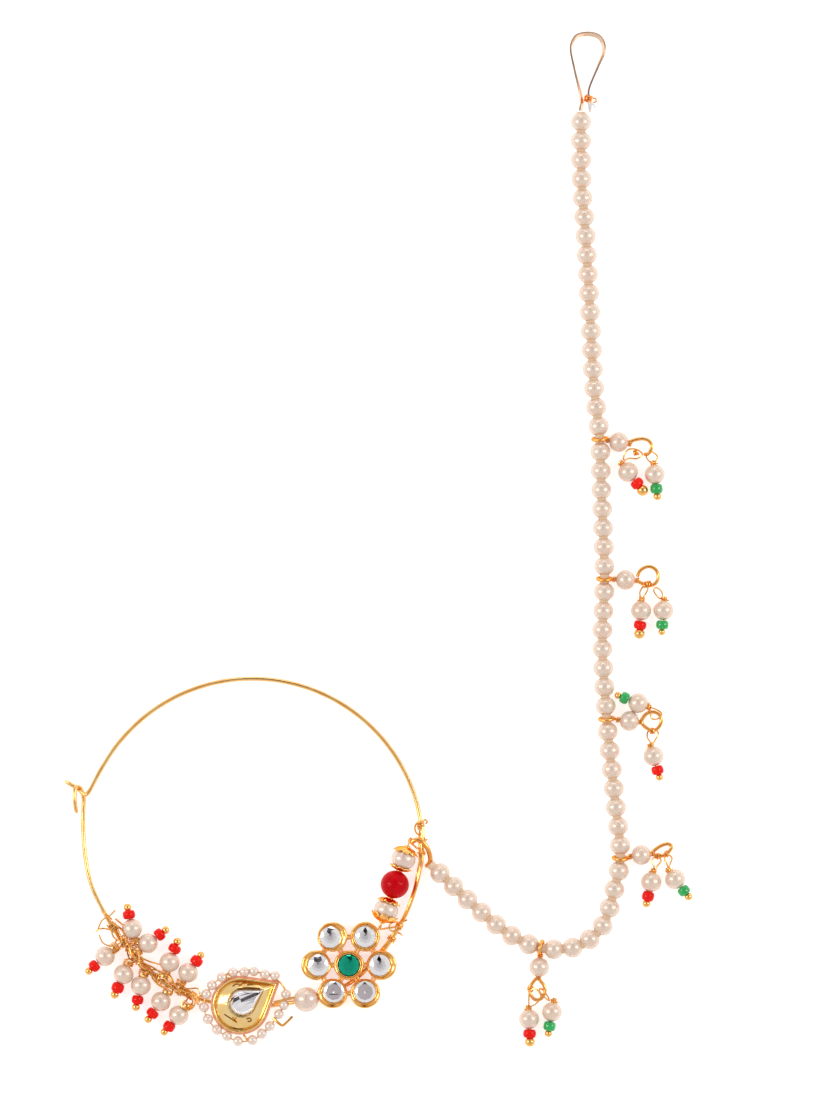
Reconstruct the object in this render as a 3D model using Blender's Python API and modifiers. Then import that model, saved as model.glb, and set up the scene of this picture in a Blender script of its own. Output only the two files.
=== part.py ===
"""Clip-on bridal nose pin with a pearl string to a hair hook.

The jewel lies face up on a table. X runs to its right, Y up towards the hair hook and Z out of its
face. The origin is the middle of the flower's flat back. Sizes are in metres, angles in degrees.
"""
import math

import bmesh
import bpy
from mathutils import Matrix, Vector

MM = 0.001
COLLECTION = "nose_pin"

# Shared fits
RUN_GAP = 0.10 * MM          # a wire in a bore or a channel
SEAT_GAP = 0.10 * MM         # a stone, cap or bead against its neighbour
ROUND_SIDES = 10
COLLET_SIDES = 12
WIRE_SIDES = 6

# Hoop wire
WIRE_RADIUS = 0.375 * MM
HOOP_RADIUS = 30.85 * MM
HOOP_STEPS = 4
HOOP_BEND = 11.0             # turn between two points of the wire
HOOP_REACH = 4.5 * MM        # longest run between two points of the wire
REST_HEIGHT = WIRE_RADIUS + 0.05 * MM

# Flower
PETAL_COUNT = 6
COLLET_RADIUS = 2.68 * MM
COLLET_WALL = 0.68 * MM
PETAL_RING = 5.87 * MM
FLOWER_FLOOR = 2.60 * MM
FLOWER_RIM = 3.30 * MM
FLOWER_STONE_RISE = 1.05 * MM
BRIDGE_RADIUS = 0.62 * MM
BRIDGE_SINK = 0.35 * MM      # from the rim down to the top of the solder
FLOWER_ANGLE = -49.8         # place of the flower round the hoop
FLOWER_INSET = 2.75 * MM     # from the wire in to the flower's middle
PETAL_TURN = 0.0             # angle of the first petal

# Pearl on the wire beside the flower
JOIN_PEARL_RADIUS = 2.25 * MM
JOIN_PEARL_RUN = -10.48 * MM  # from the flower along the hoop
JOIN_BORE_RADIUS = 0.62 * MM

# Kundan drop
PEAR_RADIUS = 4.95 * MM
PEAR_LENGTH = 12.8 * MM
PEAR_HEADING = 31.0
PEAR_ANGLE = -94.4           # place round the hoop
PEAR_OFFSET = -0.3 * MM      # from the wire, outward
PEAR_WALL = 0.55 * MM
PEAR_MOAT = 0.75 * MM
PEAR_STONE_EDGE = 2.75 * MM  # from the outline in to the stone
PEAR_FLOOR = 2.10 * MM
PEAR_RIM = 2.90 * MM
PEAR_DOME = 3.30 * MM
PEAR_POINTS = 24
KUNDAN_STONE_RISE = 1.00 * MM
SEED_PEARL_RADIUS = 0.88 * MM
BORDER_GAP = 0.15 * MM
BORDER_HEIGHT = 2.12 * MM
BORDER_START, BORDER_END = -0.042, 0.833   # ends of the border as shares of the pear's outline

# Bead stack
STACK_RED_RADIUS = 2.45 * MM
STACK_PEARL_RADIUS = 2.20 * MM
STACK_SQUASH = 0.90          # pearl length along the stack as a share of its width
STACK_WIRE_RADIUS = 0.17 * MM
STACK_RUN = 18.9 * MM        # from the flower along the hoop to the red bead
STACK_UPPER_RUN = 30.3 * MM  # to the upper turn of its wire
STACK_LOWER_RUN = 11.6 * MM  # to the lower turn
STACK_WIRE_REACH = 0.90 * MM
STACK_WIRE_LIFT = 0.75 * MM
STACK_INSET = 3.75 * MM      # from the hoop wire in to the red bead
STACK_TILT = 71.3            # heading of the stack's axis
STACK_HEIGHT = 2.65 * MM
CAP_WALL = 0.22 * MM
CAP_REACH = 58.0             # how far a cap wraps its pearl

# Drops
DROP_PEARL_RADIUS = 1.78 * MM
DROP_SEED_RADIUS = 1.12 * MM
DROP_SEED_LENGTH = 1.65 * MM
DROP_BALL_RADIUS = 0.72 * MM
DROP_WIRE_RADIUS = 0.15 * MM
DROP_LOOP_HALF_WIDTH = 0.85 * MM
DROP_LOOP_PAST = 0.64 * MM
DROP_LOOP_TILT = 62.0
DROP_NECK = 0.35 * MM
DROP_HEIGHT = 1.80 * MM

# Pearl string
STRING_BEAD_RADIUS = 1.75 * MM
STRING_PITCH = 3.43 * MM
STRING_RING_SPACE = 1.20 * MM
STRING_THREAD_RADIUS = 0.30 * MM
STRING_RUNS = (17, 7, 7, 7, 7, 7)   # beads before, between and after the side links

# Side links
LINK_RING_RADIUS = 1.20 * MM
LINK_RING_WIRE = 0.40 * MM
LINK_LOOP_RADIUS = 1.70 * MM
LINK_LOOP_WIRE = 0.33 * MM
LINK_PIN_RADIUS = 0.25 * MM
LINK_PEARL_RADIUS = 1.80 * MM
LINK_PEARL_TO_LOOP = 4.05 * MM

# Hair hook
HOOK_LOOP_WIDTH = 6.00 * MM
HOOK_LENGTH = 13.85 * MM
HOOK_GAP = 0.30 * MM         # from the first pearl's place on the string
HOOK_STRIP_WIDTH = 0.90 * MM
HOOK_STRIP_THICKNESS = 0.36 * MM
HOOK_HEIGHT = 1.05 * MM

# Ring between the string and the hoop
CHAIN_RING_WIRE = 0.36 * MM
CHAIN_RING_REACH = 2.40 * MM
CHAIN_RING_PAST = 6.95 * MM  # from the red bead along the hoop

# Fine wire bindings
BINDING_WIRE = 0.16 * MM
BINDING_PITCH = 0.42 * MM
HOOP_BINDING_RUN = 32.3 * MM
STEM_UPPER_ANGLE = -151.0
STEM_LOWER_ANGLE = -115.2

# Round the hoop: angle, distance from its middle as a share of HOOP_RADIUS, height of the wire as a
# share of DROP_HEIGHT
TONGUE = [
    (159.8, 1.167, 0.33),
    (160.6, 1.080, 0.53),
    (161.6, 1.029, 0.75),
    (160.4, 1.012, 0.81),
    (157.0, 1.004, 0.67),
    (151.0, 1.000, 0.44),
]
ARC_FROM, ARC_TO, ARC_STEP = 141, 33, -12
LOWER_SIDE = [
    (21.0, 1.000, 0.31),
    (10.0, 0.998, 0.56),
    (2.0, 0.993, 0.72),
    (-4.0, 0.988, 0.72),
    (-11.3, 0.979, 0.69),
    (-18.5, 0.974, 0.67),
    (-24.5, 0.970, 0.64),
    (-30.0, 0.966, 0.64),
    (-36.0, 0.962, 0.64),
    (-44.0, 0.964, 0.64),
    (-52.0, 0.964, 0.64),
    (-58.5, 0.955, 0.69),
    (-61.5, 0.948, 0.89),
    (-65.5, 0.938, 1.20),
    (-70.0, 0.925, 1.27),
    (-74.5, 0.918, 1.17),
    (-81.0, 0.914, 0.69),
    (-89.0, 0.914, 0.44),
    (-99.0, 0.917, 0.39),
    (-107.0, 0.920, 0.39),
    (-113.0, 0.920, 0.72),
    (-120.0, 0.926, 0.99),
    (-128.0, 0.930, 0.99),
    (-136.0, 0.922, 0.99),
    (-145.8, 0.925, 0.99),
    (-156.0, 0.934, 0.86),
    (-167.7, 0.961, 0.56),
    (-178.3, 0.976, 0.31),
    (-188.1, 0.998, 0.23),
    (-194.0, 1.016, 0.23),
    (-197.0, 1.029, 0.23),
    (-198.9, 1.050, 0.34),
    (-200.0, 1.075, 0.72),
    (-199.3, 1.092, 1.08),
    (-196.6, 1.079, 1.22),
    (-194.0, 1.061, 1.17),
    (-192.0, 1.045, 1.08),
]

# Cluster drops: place round the hoop, pearl's distance from the hoop's middle as a share of
# HOOP_RADIUS, pearl's angle, heading of the drop
CLUSTER_DROPS = [
    ("cluster_drop_inner_1", -142.3, 0.837, -146.8, 102.0),
    ("cluster_drop_inner_2", -138.7, 0.814, -138.2, 37.0),
    ("cluster_drop_inner_3", -125.1, 0.812, -126.4, 69.2),
    ("cluster_drop_inner_4", -117.6, 0.806, -117.6, 54.0),
    ("cluster_drop_outer_1", -145.6, 1.057, -144.2, 222.4),
    ("cluster_drop_outer_2", -136.2, 1.042, -136.0, 246.4),
    ("cluster_drop_outer_3", -131.0, 1.022, -129.4, 256.9),
    ("cluster_drop_outer_4", -120.6, 1.030, -121.1, 234.6),
    ("cluster_drop_outer_5", -112.7, 1.054, -114.0, 229.3),
]

# Route of the pearl string, from the hair hook to the hoop, x and y from the wire under its end ring,
# as shares of STRING_PITCH
STRING_ROUTE = [
    (8.369, 38.727), (8.399, 35.172), (8.583, 32.705), (8.793, 29.242), (9.029, 24.676),
    (9.344, 21.742), (9.431, 19.131), (9.606, 14.469), (9.488, 11.027), (9.650, 7.879),
    (9.816, 5.784), (10.157, 2.635), (10.437, -0.225), (10.114, -2.088), (9.589, -3.819),
    (8.907, -4.607), (7.958, -5.105), (6.326, -5.136), (4.778, -4.502), (3.108, -3.220),
    (0.851, -1.091), (0.449, -0.719),
]

# Side links: heading, distance from the ring to the pearl as a share of LINK_PEARL_RADIUS
SIDE_LINKS = [
    (-9.3, 1.94),
    (-2.5, 2.11),
    (-5.1, 2.28),
    (8.5, 2.14),
    (-94.9, 1.94),
]

# String drops: link number, where the drop hangs round the link's loop, x and y from the middle of
# the loop to the pearl as shares of LINK_LOOP_RADIUS, heading of the drop
STRING_DROPS = [
    ("string_drop_1_red", 1, 222.0, -1.38, -2.79, -51.5),
    ("string_drop_1_green", 1, 292.0, 1.44, -3.03, -83.0),
    ("string_drop_2_red", 2, 250.0, -0.74, -3.15, -94.0),
    ("string_drop_2_green", 2, 308.0, 1.62, -3.12, -94.3),
    ("string_drop_3_green", 3, 108.0, -1.44, 2.09, 159.0),
    ("string_drop_3_red", 3, 277.0, 0.18, -3.53, -73.9),
    ("string_drop_4_red", 4, 240.0, -1.32, -3.21, -102.3),
    ("string_drop_4_green", 4, 292.0, 1.21, -2.91, -52.6),
    ("string_drop_5_red", 5, 255.0, -0.88, -3.12, -88.0),
    ("string_drop_5_green", 5, 318.0, 1.53, -2.35, -99.0),
]

# Hair hook, from the string round the loop to its tucked end: across as a share of HOOK_LOOP_WIDTH,
# along as a share of HOOK_LENGTH
HOOK_ROUTE = [
    (0.000, 0.000),
    (0.025, 0.112),
    (-0.055, 0.296),
    (-0.187, 0.534),
    (-0.302, 0.783),
    (-0.250, 0.899),
    (-0.100, 0.975),
    (0.200, 1.000),
    (0.500, 0.971),
    (0.658, 0.888),
    (0.695, 0.765),
    (0.558, 0.617),
    (0.333, 0.390),
    (0.237, 0.267),
    (0.233, 0.181),
]

# Ring that joins the string to the hoop: x and y from the wire that it rides on, and height, as shares
# of CHAIN_RING_REACH
CHAIN_RING_ROUTE = [
    (-0.779, 0.579, 0.896),
    (-0.383, 0.788, 1.021),
    (0.096, 0.621, 1.021),
    (0.513, 0.017, 0.875),
    (0.667, -0.796, 0.583),
    (0.346, -1.275, 0.300),
    (0.075, -0.837, 0.175),
    (-0.279, -0.192, 0.175),
    (-0.717, 0.246, 0.396),
]


def polar(angle, radius):
    """Return a flat vector at an angle in degrees."""
    turn = math.radians(angle)
    return Vector((math.cos(turn), math.sin(turn), 0.0)) * radius


def hoop_middle():
    """Middle of the hoop, seen from the flower at the origin."""
    return -polar(FLOWER_ANGLE, HOOP_RADIUS * hoop_share(FLOWER_ANGLE) - FLOWER_INSET)


def hoop_share(angle):
    """Distance from the hoop's middle to the wire, as a share of HOOP_RADIUS."""
    return station_value(angle, 1)


def station_value(angle, column):
    """Value of one column of LOWER_SIDE at an angle, straight between the stations."""
    for first, second in zip(LOWER_SIDE, LOWER_SIDE[1:]):
        if first[0] >= angle >= second[0]:
            part = (first[0] - angle) / (first[0] - second[0])
            return first[column] + (second[column] - first[column]) * part
    return 1.0


def along_hoop(run):
    """Angle at a distance along the hoop from the flower, from its mean lower radius."""
    return FLOWER_ANGLE + math.degrees(run / (HOOP_RADIUS * hoop_share(FLOWER_ANGLE)))


def hoop_stations():
    """Rows of angle, share and height from the free tip to the end of the lower hook."""
    arc = [(angle, 1.0, REST_HEIGHT / DROP_HEIGHT) for angle in range(ARC_FROM, ARC_TO - 1, ARC_STEP)]
    return TONGUE + arc + LOWER_SIDE


def hoop_place(angle, share, height):
    """Point at an angle and a share of the radius round the hoop, at a height in metres."""
    return hoop_middle() + polar(angle, HOOP_RADIUS * share) + Vector((0.0, 0.0, height))


def smooth(points, steps, closed=False):
    """Points of a Catmull-Rom curve through the given ones."""
    count = len(points)
    spans = count if closed else count - 1
    result = []
    for span in range(spans):
        if closed:
            before, start, end, after = (points[(span + shift) % count] for shift in (-1, 0, 1, 2))
        else:
            start, end = points[span], points[span + 1]
            before = points[span - 1] if span else start * 2 - end
            after = points[span + 2] if span + 2 < count else end * 2 - start
        for step in range(steps):
            t = step / steps
            result.append(0.5 * (start * 2 + (end - before) * t
                                 + (before * 2 - start * 5 + end * 4 - after) * t ** 2
                                 + (start * 3 - before - end * 3 + after) * t ** 3))
    if not closed:
        result.append(points[-1].copy())
    return result


def hoop_points():
    """Middle line of the hoop wire, with a point wherever it has bent or run far enough."""
    places = [hoop_place(angle, share, height * DROP_HEIGHT) for angle, share, height in hoop_stations()]
    line = smooth(places, HOOP_STEPS)
    kept = [line[0]]
    way = line[1] - line[0]
    for place, after in zip(line[1:], line[2:]):
        step = after - place
        if math.degrees(step.angle(way)) > HOOP_BEND or (place - kept[-1]).length > HOOP_REACH:
            kept.append(place)
            way = step
    kept.append(line[-1])
    return kept


def hoop_at(angle):
    """Point on the lower side of the hoop wire and its direction there."""
    middle = hoop_middle()
    line = hoop_points()
    turn = polar(angle, 1.0)
    for start, end in zip(line, line[1:]):
        first, second = start - middle, end - middle
        before, after = turn.cross(first).z, turn.cross(second).z
        if first.dot(turn) > 0.0 and before > 0.0 >= after:
            return start.lerp(end, before / (before - after)), (end - start).normalized()
    return line[-1], (line[-1] - line[-2]).normalized()


def material(name, colour, roughness, metallic=0.0):
    """Principled material, made once for each name."""
    found = bpy.data.materials.get(name)
    if found:
        return found
    made = bpy.data.materials.new(name)
    made.use_nodes = True
    shader = made.node_tree.nodes["Principled BSDF"]
    shader.inputs["Base Color"].default_value = (*colour, 1.0)
    shader.inputs["Roughness"].default_value = roughness
    shader.inputs["Metallic"].default_value = metallic
    return made


def gold():
    """Warm plated gold."""
    return material("gold_plate", (0.85, 0.50, 0.16), 0.28, 1.0)


def pearl():
    """Cream pearl."""
    return material("pearl", (0.93, 0.83, 0.77), 0.30)


def clear_stone():
    """Clear foil-backed stone."""
    return material("clear_stone", (0.86, 0.88, 0.90), 0.08)


def link(obj, collection):
    """Move an object to one collection."""
    for holder in list(obj.users_collection):
        holder.objects.unlink(obj)
    collection.objects.link(obj)


def parts_collection():
    """Collection that holds the parts."""
    return bpy.data.collections[COLLECTION]


def finish(obj, name, look, smooth_angle=40.0):
    """Name a piece, give it its material and shading, and put it with the parts."""
    obj.name = name
    obj.data.name = name
    obj.data.materials.clear()
    obj.data.materials.append(look)
    link(obj, parts_collection())
    if obj.type == "MESH" and smooth_angle:
        obj.data.shade_smooth()
        obj.data.set_sharp_from_angle(angle=math.radians(smooth_angle))
    return obj


def tube(points, radius, sides=WIRE_SIDES, closed=False, radii=None):
    """Round tube along points, as a curve object, with its own radius at each point if given."""
    data = bpy.data.curves.new("tube", "CURVE")
    data.dimensions = "3D"
    data.bevel_depth = radius
    data.bevel_resolution = (sides - 4) // 2
    data.use_fill_caps = True
    spline = data.splines.new("POLY")
    spline.points.add(len(points) - 1)
    for index, (knot, place) in enumerate(zip(spline.points, points)):
        knot.co = (*place, 1.0)
        knot.radius = radii[index] / radius if radii else 1.0
    spline.use_cyclic_u = closed
    obj = bpy.data.objects.new("tube", data)
    parts_collection().objects.link(obj)
    return obj


def as_mesh(obj):
    """Replace an object by the mesh of its evaluated form, with welded caps."""
    bpy.context.view_layer.update()
    graph = bpy.context.evaluated_depsgraph_get()
    data = bpy.data.meshes.new_from_object(obj.evaluated_get(graph))
    made = bpy.data.objects.new(obj.name, data)
    made.matrix_world = obj.matrix_world
    parts_collection().objects.link(made)
    bpy.data.objects.remove(obj)
    work = bmesh.new()
    work.from_mesh(data)
    bmesh.ops.remove_doubles(work, verts=work.verts, dist=0.001 * MM)
    bmesh.ops.recalc_face_normals(work, faces=work.faces)
    work.to_mesh(data)
    work.free()
    return made


def turned(profile, sides=ROUND_SIDES, closed=False):
    """Shape turned about Z from radius and height pairs that run down its outer side."""
    data = bpy.data.meshes.new("turned")
    edges = [(i, i + 1) for i in range(len(profile) - 1)]
    if closed:
        edges.append((len(profile) - 1, 0))
    data.from_pydata([(radius, 0.0, height) for radius, height in profile], edges, [])
    obj = bpy.data.objects.new("turned", data)
    screw = obj.modifiers.new("turn", "SCREW")
    screw.axis = "Z"
    screw.steps = sides
    screw.render_steps = sides
    screw.use_merge_vertices = True
    screw.merge_threshold = 0.001 * MM
    parts_collection().objects.link(obj)
    return obj


def aim(obj, place, direction, turn=0.0):
    """Put an object's origin at a place with its Z axis along a direction."""
    facing = direction.to_track_quat("Z", "Y").to_matrix().to_4x4()
    obj.matrix_world = Matrix.Translation(place) @ facing @ Matrix.Rotation(turn, 4, "Z")
    return obj


def boolean(obj, other, operation):
    """Apply an exact Boolean of two meshes and drop the second."""
    change = obj.modifiers.new("boolean", "BOOLEAN")
    change.operation = operation
    change.solver = "EXACT"
    change.object = other
    made = as_mesh(obj)
    bpy.data.objects.remove(other)
    return made


def fused(pieces):
    """One body from several closed pieces."""
    body = as_mesh(pieces[0])
    for piece in pieces[1:]:
        body = boolean(body, as_mesh(piece), "UNION")
    return body


def wire_ring(place, axis, radius, wire, count=8, sides=WIRE_SIDES):
    """Closed ring of wire round an axis."""
    across = axis.orthogonal().normalized()
    up = axis.normalized().cross(across)
    points = []
    for index in range(count):
        turn = 2.0 * math.pi * index / count
        points.append(place + across * radius * math.cos(turn) + up * radius * math.sin(turn))
    return tube(points, wire, sides, closed=True)


def helix(place, axis, radius, pitch, turns, per_turn=6):
    """Points of a coil round an axis, centred on a place."""
    axis = axis.normalized()
    across = axis.cross(Vector((0.0, 0.0, 1.0))).normalized()
    up = axis.cross(across)
    count = int(round(turns * per_turn))
    points = []
    for index in range(count + 1):
        turn = 2.0 * math.pi * index / per_turn
        along = pitch * (index / per_turn - turns / 2.0)
        points.append(place + axis * along + across * radius * math.cos(turn)
                      + up * radius * math.sin(turn))
    return points


def bead_profile(radius, bore, squash=1.0, rings=5):
    """Closed profile of a drilled round bead."""
    reach = math.acos(bore / radius)
    rows = []
    for index in range(rings):
        turn = reach - 2.0 * reach * index / (rings - 1)
        rows.append((radius * math.cos(turn), radius * math.sin(turn) * squash))
    return rows


def drilled_bead(name, place, axis, radius, bore, look, squash=1.0, rings=5):
    """Round bead with a straight bore."""
    bead = turned(bead_profile(radius, bore, squash, rings), closed=True)
    aim(bead, place, axis)
    return finish(bead, name, look)


def hoop_wire():
    """The whole hoop, its free tip and its lower hook."""
    wire = as_mesh(tube(hoop_points(), WIRE_RADIUS))
    finish(wire, "hoop_wire", gold())


def wire_channel(first, last):
    """Cutter that follows the hoop wire between two angles with a running gap."""
    middle = hoop_middle()
    line = hoop_points()
    inside = []
    for index, place in enumerate(line):
        angle = math.degrees(math.atan2(place.y - middle.y, place.x - middle.x))
        if last <= angle <= first:
            inside.append(index)
    return as_mesh(tube(line[inside[0] - 1:inside[-1] + 2], WIRE_RADIUS + RUN_GAP))


def collet_profile():
    """Cup that holds one round stone."""
    inner = COLLET_RADIUS - COLLET_WALL
    return [(0.0, FLOWER_FLOOR), (inner, FLOWER_FLOOR), (inner, FLOWER_RIM),
            (COLLET_RADIUS, FLOWER_RIM), (COLLET_RADIUS, 0.0), (0.0, 0.0)]


def petal_places():
    """Middles of the outer collets."""
    return [polar(PETAL_TURN + 360.0 * index / PETAL_COUNT, PETAL_RING)
            for index in range(PETAL_COUNT)]


def flower():
    """Seven soldered collets with bridging beads of solder, and their stones."""
    pieces = [turned(collet_profile(), COLLET_SIDES)]
    for place in petal_places():
        collet = turned(collet_profile(), COLLET_SIDES)
        collet.location = place
        pieces.append(collet)
    outer_bridge = PETAL_RING * math.cos(math.pi / PETAL_COUNT)
    inner_bridge = PETAL_RING / 2.0
    height = FLOWER_RIM - BRIDGE_SINK
    for index in range(PETAL_COUNT):
        for radius, angle in ((inner_bridge, 0.0), (outer_bridge, 180.0 / PETAL_COUNT)):
            bridge = turned([(0.0, height), (BRIDGE_RADIUS, height), (BRIDGE_RADIUS, 0.0), (0.0, 0.0)], 6)
            bridge.location = polar(PETAL_TURN + angle + 360.0 * index / PETAL_COUNT, radius)
            pieces.append(bridge)
    setting = boolean(fused(pieces), wire_channel(-33.0, -68.0), "DIFFERENCE")
    finish(setting, "flower_setting", gold())
    round_stone("flower_stone_green", Vector(), material("green_stone", (0.0, 0.22, 0.10), 0.1))
    for index, place in enumerate(petal_places()):
        round_stone("flower_stone_clear_%d" % (index + 1), place, clear_stone())


def round_stone(name, place, look):
    """Round cut stone with eight main facets and a table."""
    girdle = COLLET_RADIUS - COLLET_WALL - SEAT_GAP
    base = FLOWER_FLOOR + SEAT_GAP
    rise = FLOWER_STONE_RISE
    profile = [(0.0, base + rise), (girdle * 0.55, base + rise), (girdle * 0.85, base + rise * 0.75),
               (girdle, base + rise * 0.35), (girdle, base), (0.0, base)]
    stone = turned(profile, 8)
    stone.location = place
    finish(stone, name, look, smooth_angle=0.0)


def connecting_pearl():
    """Pearl on the hoop wire between the flower and the kundan drop."""
    place, along = hoop_at(along_hoop(JOIN_PEARL_RUN))
    drilled_bead("connecting_pearl", place, along, JOIN_PEARL_RADIUS, JOIN_BORE_RADIUS, pearl())


def pear_middle():
    """Middle of the pear's round end, on the table."""
    angle = PEAR_ANGLE
    return hoop_middle() + polar(angle, HOOP_RADIUS * hoop_share(angle) + PEAR_OFFSET)


def pear_outline(offset, count):
    """Points round a pear that is grown by an offset, from its tip and back to it."""
    radius = PEAR_RADIUS + offset
    tip = PEAR_LENGTH - PEAR_RADIUS + offset * 1.35
    tangent = math.acos(radius / tip)
    flat = math.sqrt(tip ** 2 - radius ** 2)
    arc = radius * 2.0 * (math.pi - tangent)
    total = 2.0 * flat + arc
    points = []
    for index in range(count):
        run = total * index / count
        if run < flat:
            touch = Vector((math.cos(tangent), math.sin(tangent), 0.0)) * radius
            places = Vector((tip, 0.0, 0.0)).lerp(touch, run / flat)
        elif run < flat + arc:
            turn = tangent + (run - flat) / radius
            places = Vector((math.cos(turn), math.sin(turn), 0.0)) * radius
        else:
            touch = Vector((math.cos(tangent), -math.sin(tangent), 0.0)) * radius
            places = touch.lerp(Vector((tip, 0.0, 0.0)), (run - flat - arc) / flat)
        points.append(places)
    return points


def pear_loft(rows):
    """Closed body through pear outlines, from rows of offset and height, closed at both ends."""
    work = bmesh.new()
    turn = Matrix.Translation(pear_middle()) @ Matrix.Rotation(math.radians(PEAR_HEADING), 4, "Z")
    rings = []
    for offset, height in rows:
        lift = Vector((0.0, 0.0, height))
        rings.append([work.verts.new(turn @ (place + lift)) for place in pear_outline(offset, PEAR_POINTS)])
    for lower, upper in zip(rings, rings[1:]):
        for index in range(PEAR_POINTS):
            after = (index + 1) % PEAR_POINTS
            work.faces.new((lower[index], lower[after], upper[after], upper[index]))
    work.faces.new(list(reversed(rings[0])))
    work.faces.new(rings[-1])
    bmesh.ops.recalc_face_normals(work, faces=work.faces)
    data = bpy.data.meshes.new("pear")
    work.to_mesh(data)
    work.free()
    obj = bpy.data.objects.new("pear", data)
    parts_collection().objects.link(obj)
    return obj


def kundan():
    """Pear setting with a raised rim, a domed middle and a foil-backed stone."""
    moat = PEAR_WALL + PEAR_MOAT
    rows = [(0.0, 0.0), (0.0, PEAR_RIM), (-PEAR_WALL, PEAR_RIM), (-PEAR_WALL * 1.1, PEAR_FLOOR),
            (-moat, PEAR_FLOOR), (-moat * 1.2, PEAR_RIM), (-PEAR_STONE_EDGE * 0.86, PEAR_DOME),
            (-PEAR_STONE_EDGE, PEAR_DOME), (-PEAR_STONE_EDGE, PEAR_FLOOR)]
    setting = boolean(pear_loft(rows), wire_channel(-74.0, -116.0), "DIFFERENCE")
    finish(setting, "kundan_setting", gold())
    seat = -PEAR_STONE_EDGE - SEAT_GAP
    base = PEAR_FLOOR + SEAT_GAP
    top = PEAR_DOME + KUNDAN_STONE_RISE
    stone = pear_loft([(seat, base), (seat, PEAR_DOME),
                       (seat - KUNDAN_STONE_RISE * 0.55, top - KUNDAN_STONE_RISE * 0.35),
                       (seat - KUNDAN_STONE_RISE * 1.1, top)])
    finish(stone, "kundan_stone", clear_stone(), smooth_angle=0.0)


def border():
    """Run of seed pearls round the pear as a plain tube, open where the hoop wire comes in."""
    outline = pear_outline(SEED_PEARL_RADIUS + BORDER_GAP, PEAR_POINTS)
    turn = Matrix.Translation(pear_middle()) @ Matrix.Rotation(math.radians(PEAR_HEADING), 4, "Z")
    lift = Vector((0.0, 0.0, BORDER_HEIGHT))
    first = round(BORDER_START * PEAR_POINTS)
    last = round(BORDER_END * PEAR_POINTS)
    line = [turn @ (outline[index % PEAR_POINTS] + lift) for index in range(first, last + 1)]
    finish(as_mesh(tube(line, SEED_PEARL_RADIUS, 8)), "kundan_border", pearl())


def walk(line, distances):
    """Places at distances along a line of points."""
    places = []
    run = 0.0
    index = 0
    for distance in distances:
        while index < len(line) - 2 and run + (line[index + 1] - line[index]).length < distance:
            run += (line[index + 1] - line[index]).length
            index += 1
        span = (line[index + 1] - line[index]).length
        places.append(line[index].lerp(line[index + 1], (distance - run) / span))
    return places


def bead_rings(middle, radius):
    """Distances and radii of the rings of one bead at a distance along its thread."""
    return [(middle - radius * 0.50, radius * 0.95), (middle + radius * 0.50, radius * 0.95)]


def stack():
    """Two pearls and a red bead with four caps on their own wire beside the hoop."""
    angle = along_hoop(STACK_RUN)
    middle = hoop_middle() + polar(angle, HOOP_RADIUS * hoop_share(angle) - STACK_INSET)
    middle.z = STACK_HEIGHT
    axis = polar(STACK_TILT, 1.0)
    bore = STACK_WIRE_RADIUS + RUN_GAP
    red = material("red_bead", (0.62, 0.0, 0.02), 0.15)
    drilled_bead("stack_red_bead", middle, axis, STACK_RED_RADIUS, bore, red)
    pearl_half = STACK_PEARL_RADIUS * STACK_SQUASH
    reach = STACK_RED_RADIUS + SEAT_GAP * 2.0 + CAP_WALL + pearl_half
    for side, label in ((1.0, "top"), (-1.0, "bottom")):
        centre = middle + axis * side * reach
        drilled_bead("stack_pearl_" + label, centre, axis, STACK_PEARL_RADIUS, bore, pearl(), STACK_SQUASH)
        bead_cap("bead_cap_%s_outer" % label, centre, axis * side, bore)
        bead_cap("bead_cap_%s_inner" % label, centre, axis * -side, bore)
    end = reach + pearl_half + SEAT_GAP + CAP_WALL
    stack_wire(middle, axis, end)


def bead_cap(name, place, axis, bore):
    """Thin dished cap over one end of a stack pearl."""
    inner = STACK_PEARL_RADIUS + SEAT_GAP
    outer = inner + CAP_WALL
    rows = []
    steps = 2
    low = math.degrees(math.asin(bore / inner))
    for index in range(steps + 1):
        turn = math.radians(low + (CAP_REACH - low) * index / steps)
        rows.append((outer * math.sin(turn), outer * math.cos(turn) * STACK_SQUASH))
    for index in range(steps, -1, -1):
        turn = math.radians(low + (CAP_REACH - low) * index / steps)
        rows.append((inner * math.sin(turn), inner * math.cos(turn) * STACK_SQUASH))
    cap = aim(turned(rows, closed=True), place, axis)
    finish(cap, name, gold())


def stack_wire(middle, axis, end):
    """Wire through the stack that is wound once round the hoop at both ends."""
    reach = WIRE_RADIUS + STACK_WIRE_RADIUS + RUN_GAP * 2.0
    upper, upper_way = hoop_at(along_hoop(STACK_UPPER_RUN))
    lower, lower_way = hoop_at(along_hoop(STACK_LOWER_RUN))
    top = helix(upper, upper_way, reach, STACK_WIRE_RADIUS * 3.0, 1.0)
    low = helix(lower, lower_way, reach, STACK_WIRE_RADIUS * 3.0, 1.0)
    above = middle + axis * (end + STACK_WIRE_REACH) + Vector((0.0, 0.0, STACK_WIRE_LIFT))
    below = middle - axis * (end + STACK_WIRE_REACH * 0.55)
    points = top + [above, middle + axis * end, middle - axis * end, below] + low
    wire = as_mesh(tube(points, STACK_WIRE_RADIUS))
    finish(wire, "stack_wire", gold())


def binding(name, angle, turns):
    """Coil of fine wire round the hoop."""
    place, way = hoop_at(angle)
    radius = WIRE_RADIUS + BINDING_WIRE + RUN_GAP * 2.0
    points = helix(place, way, radius, BINDING_PITCH, turns)
    finish(as_mesh(tube(points, BINDING_WIRE)), name, gold())


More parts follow.
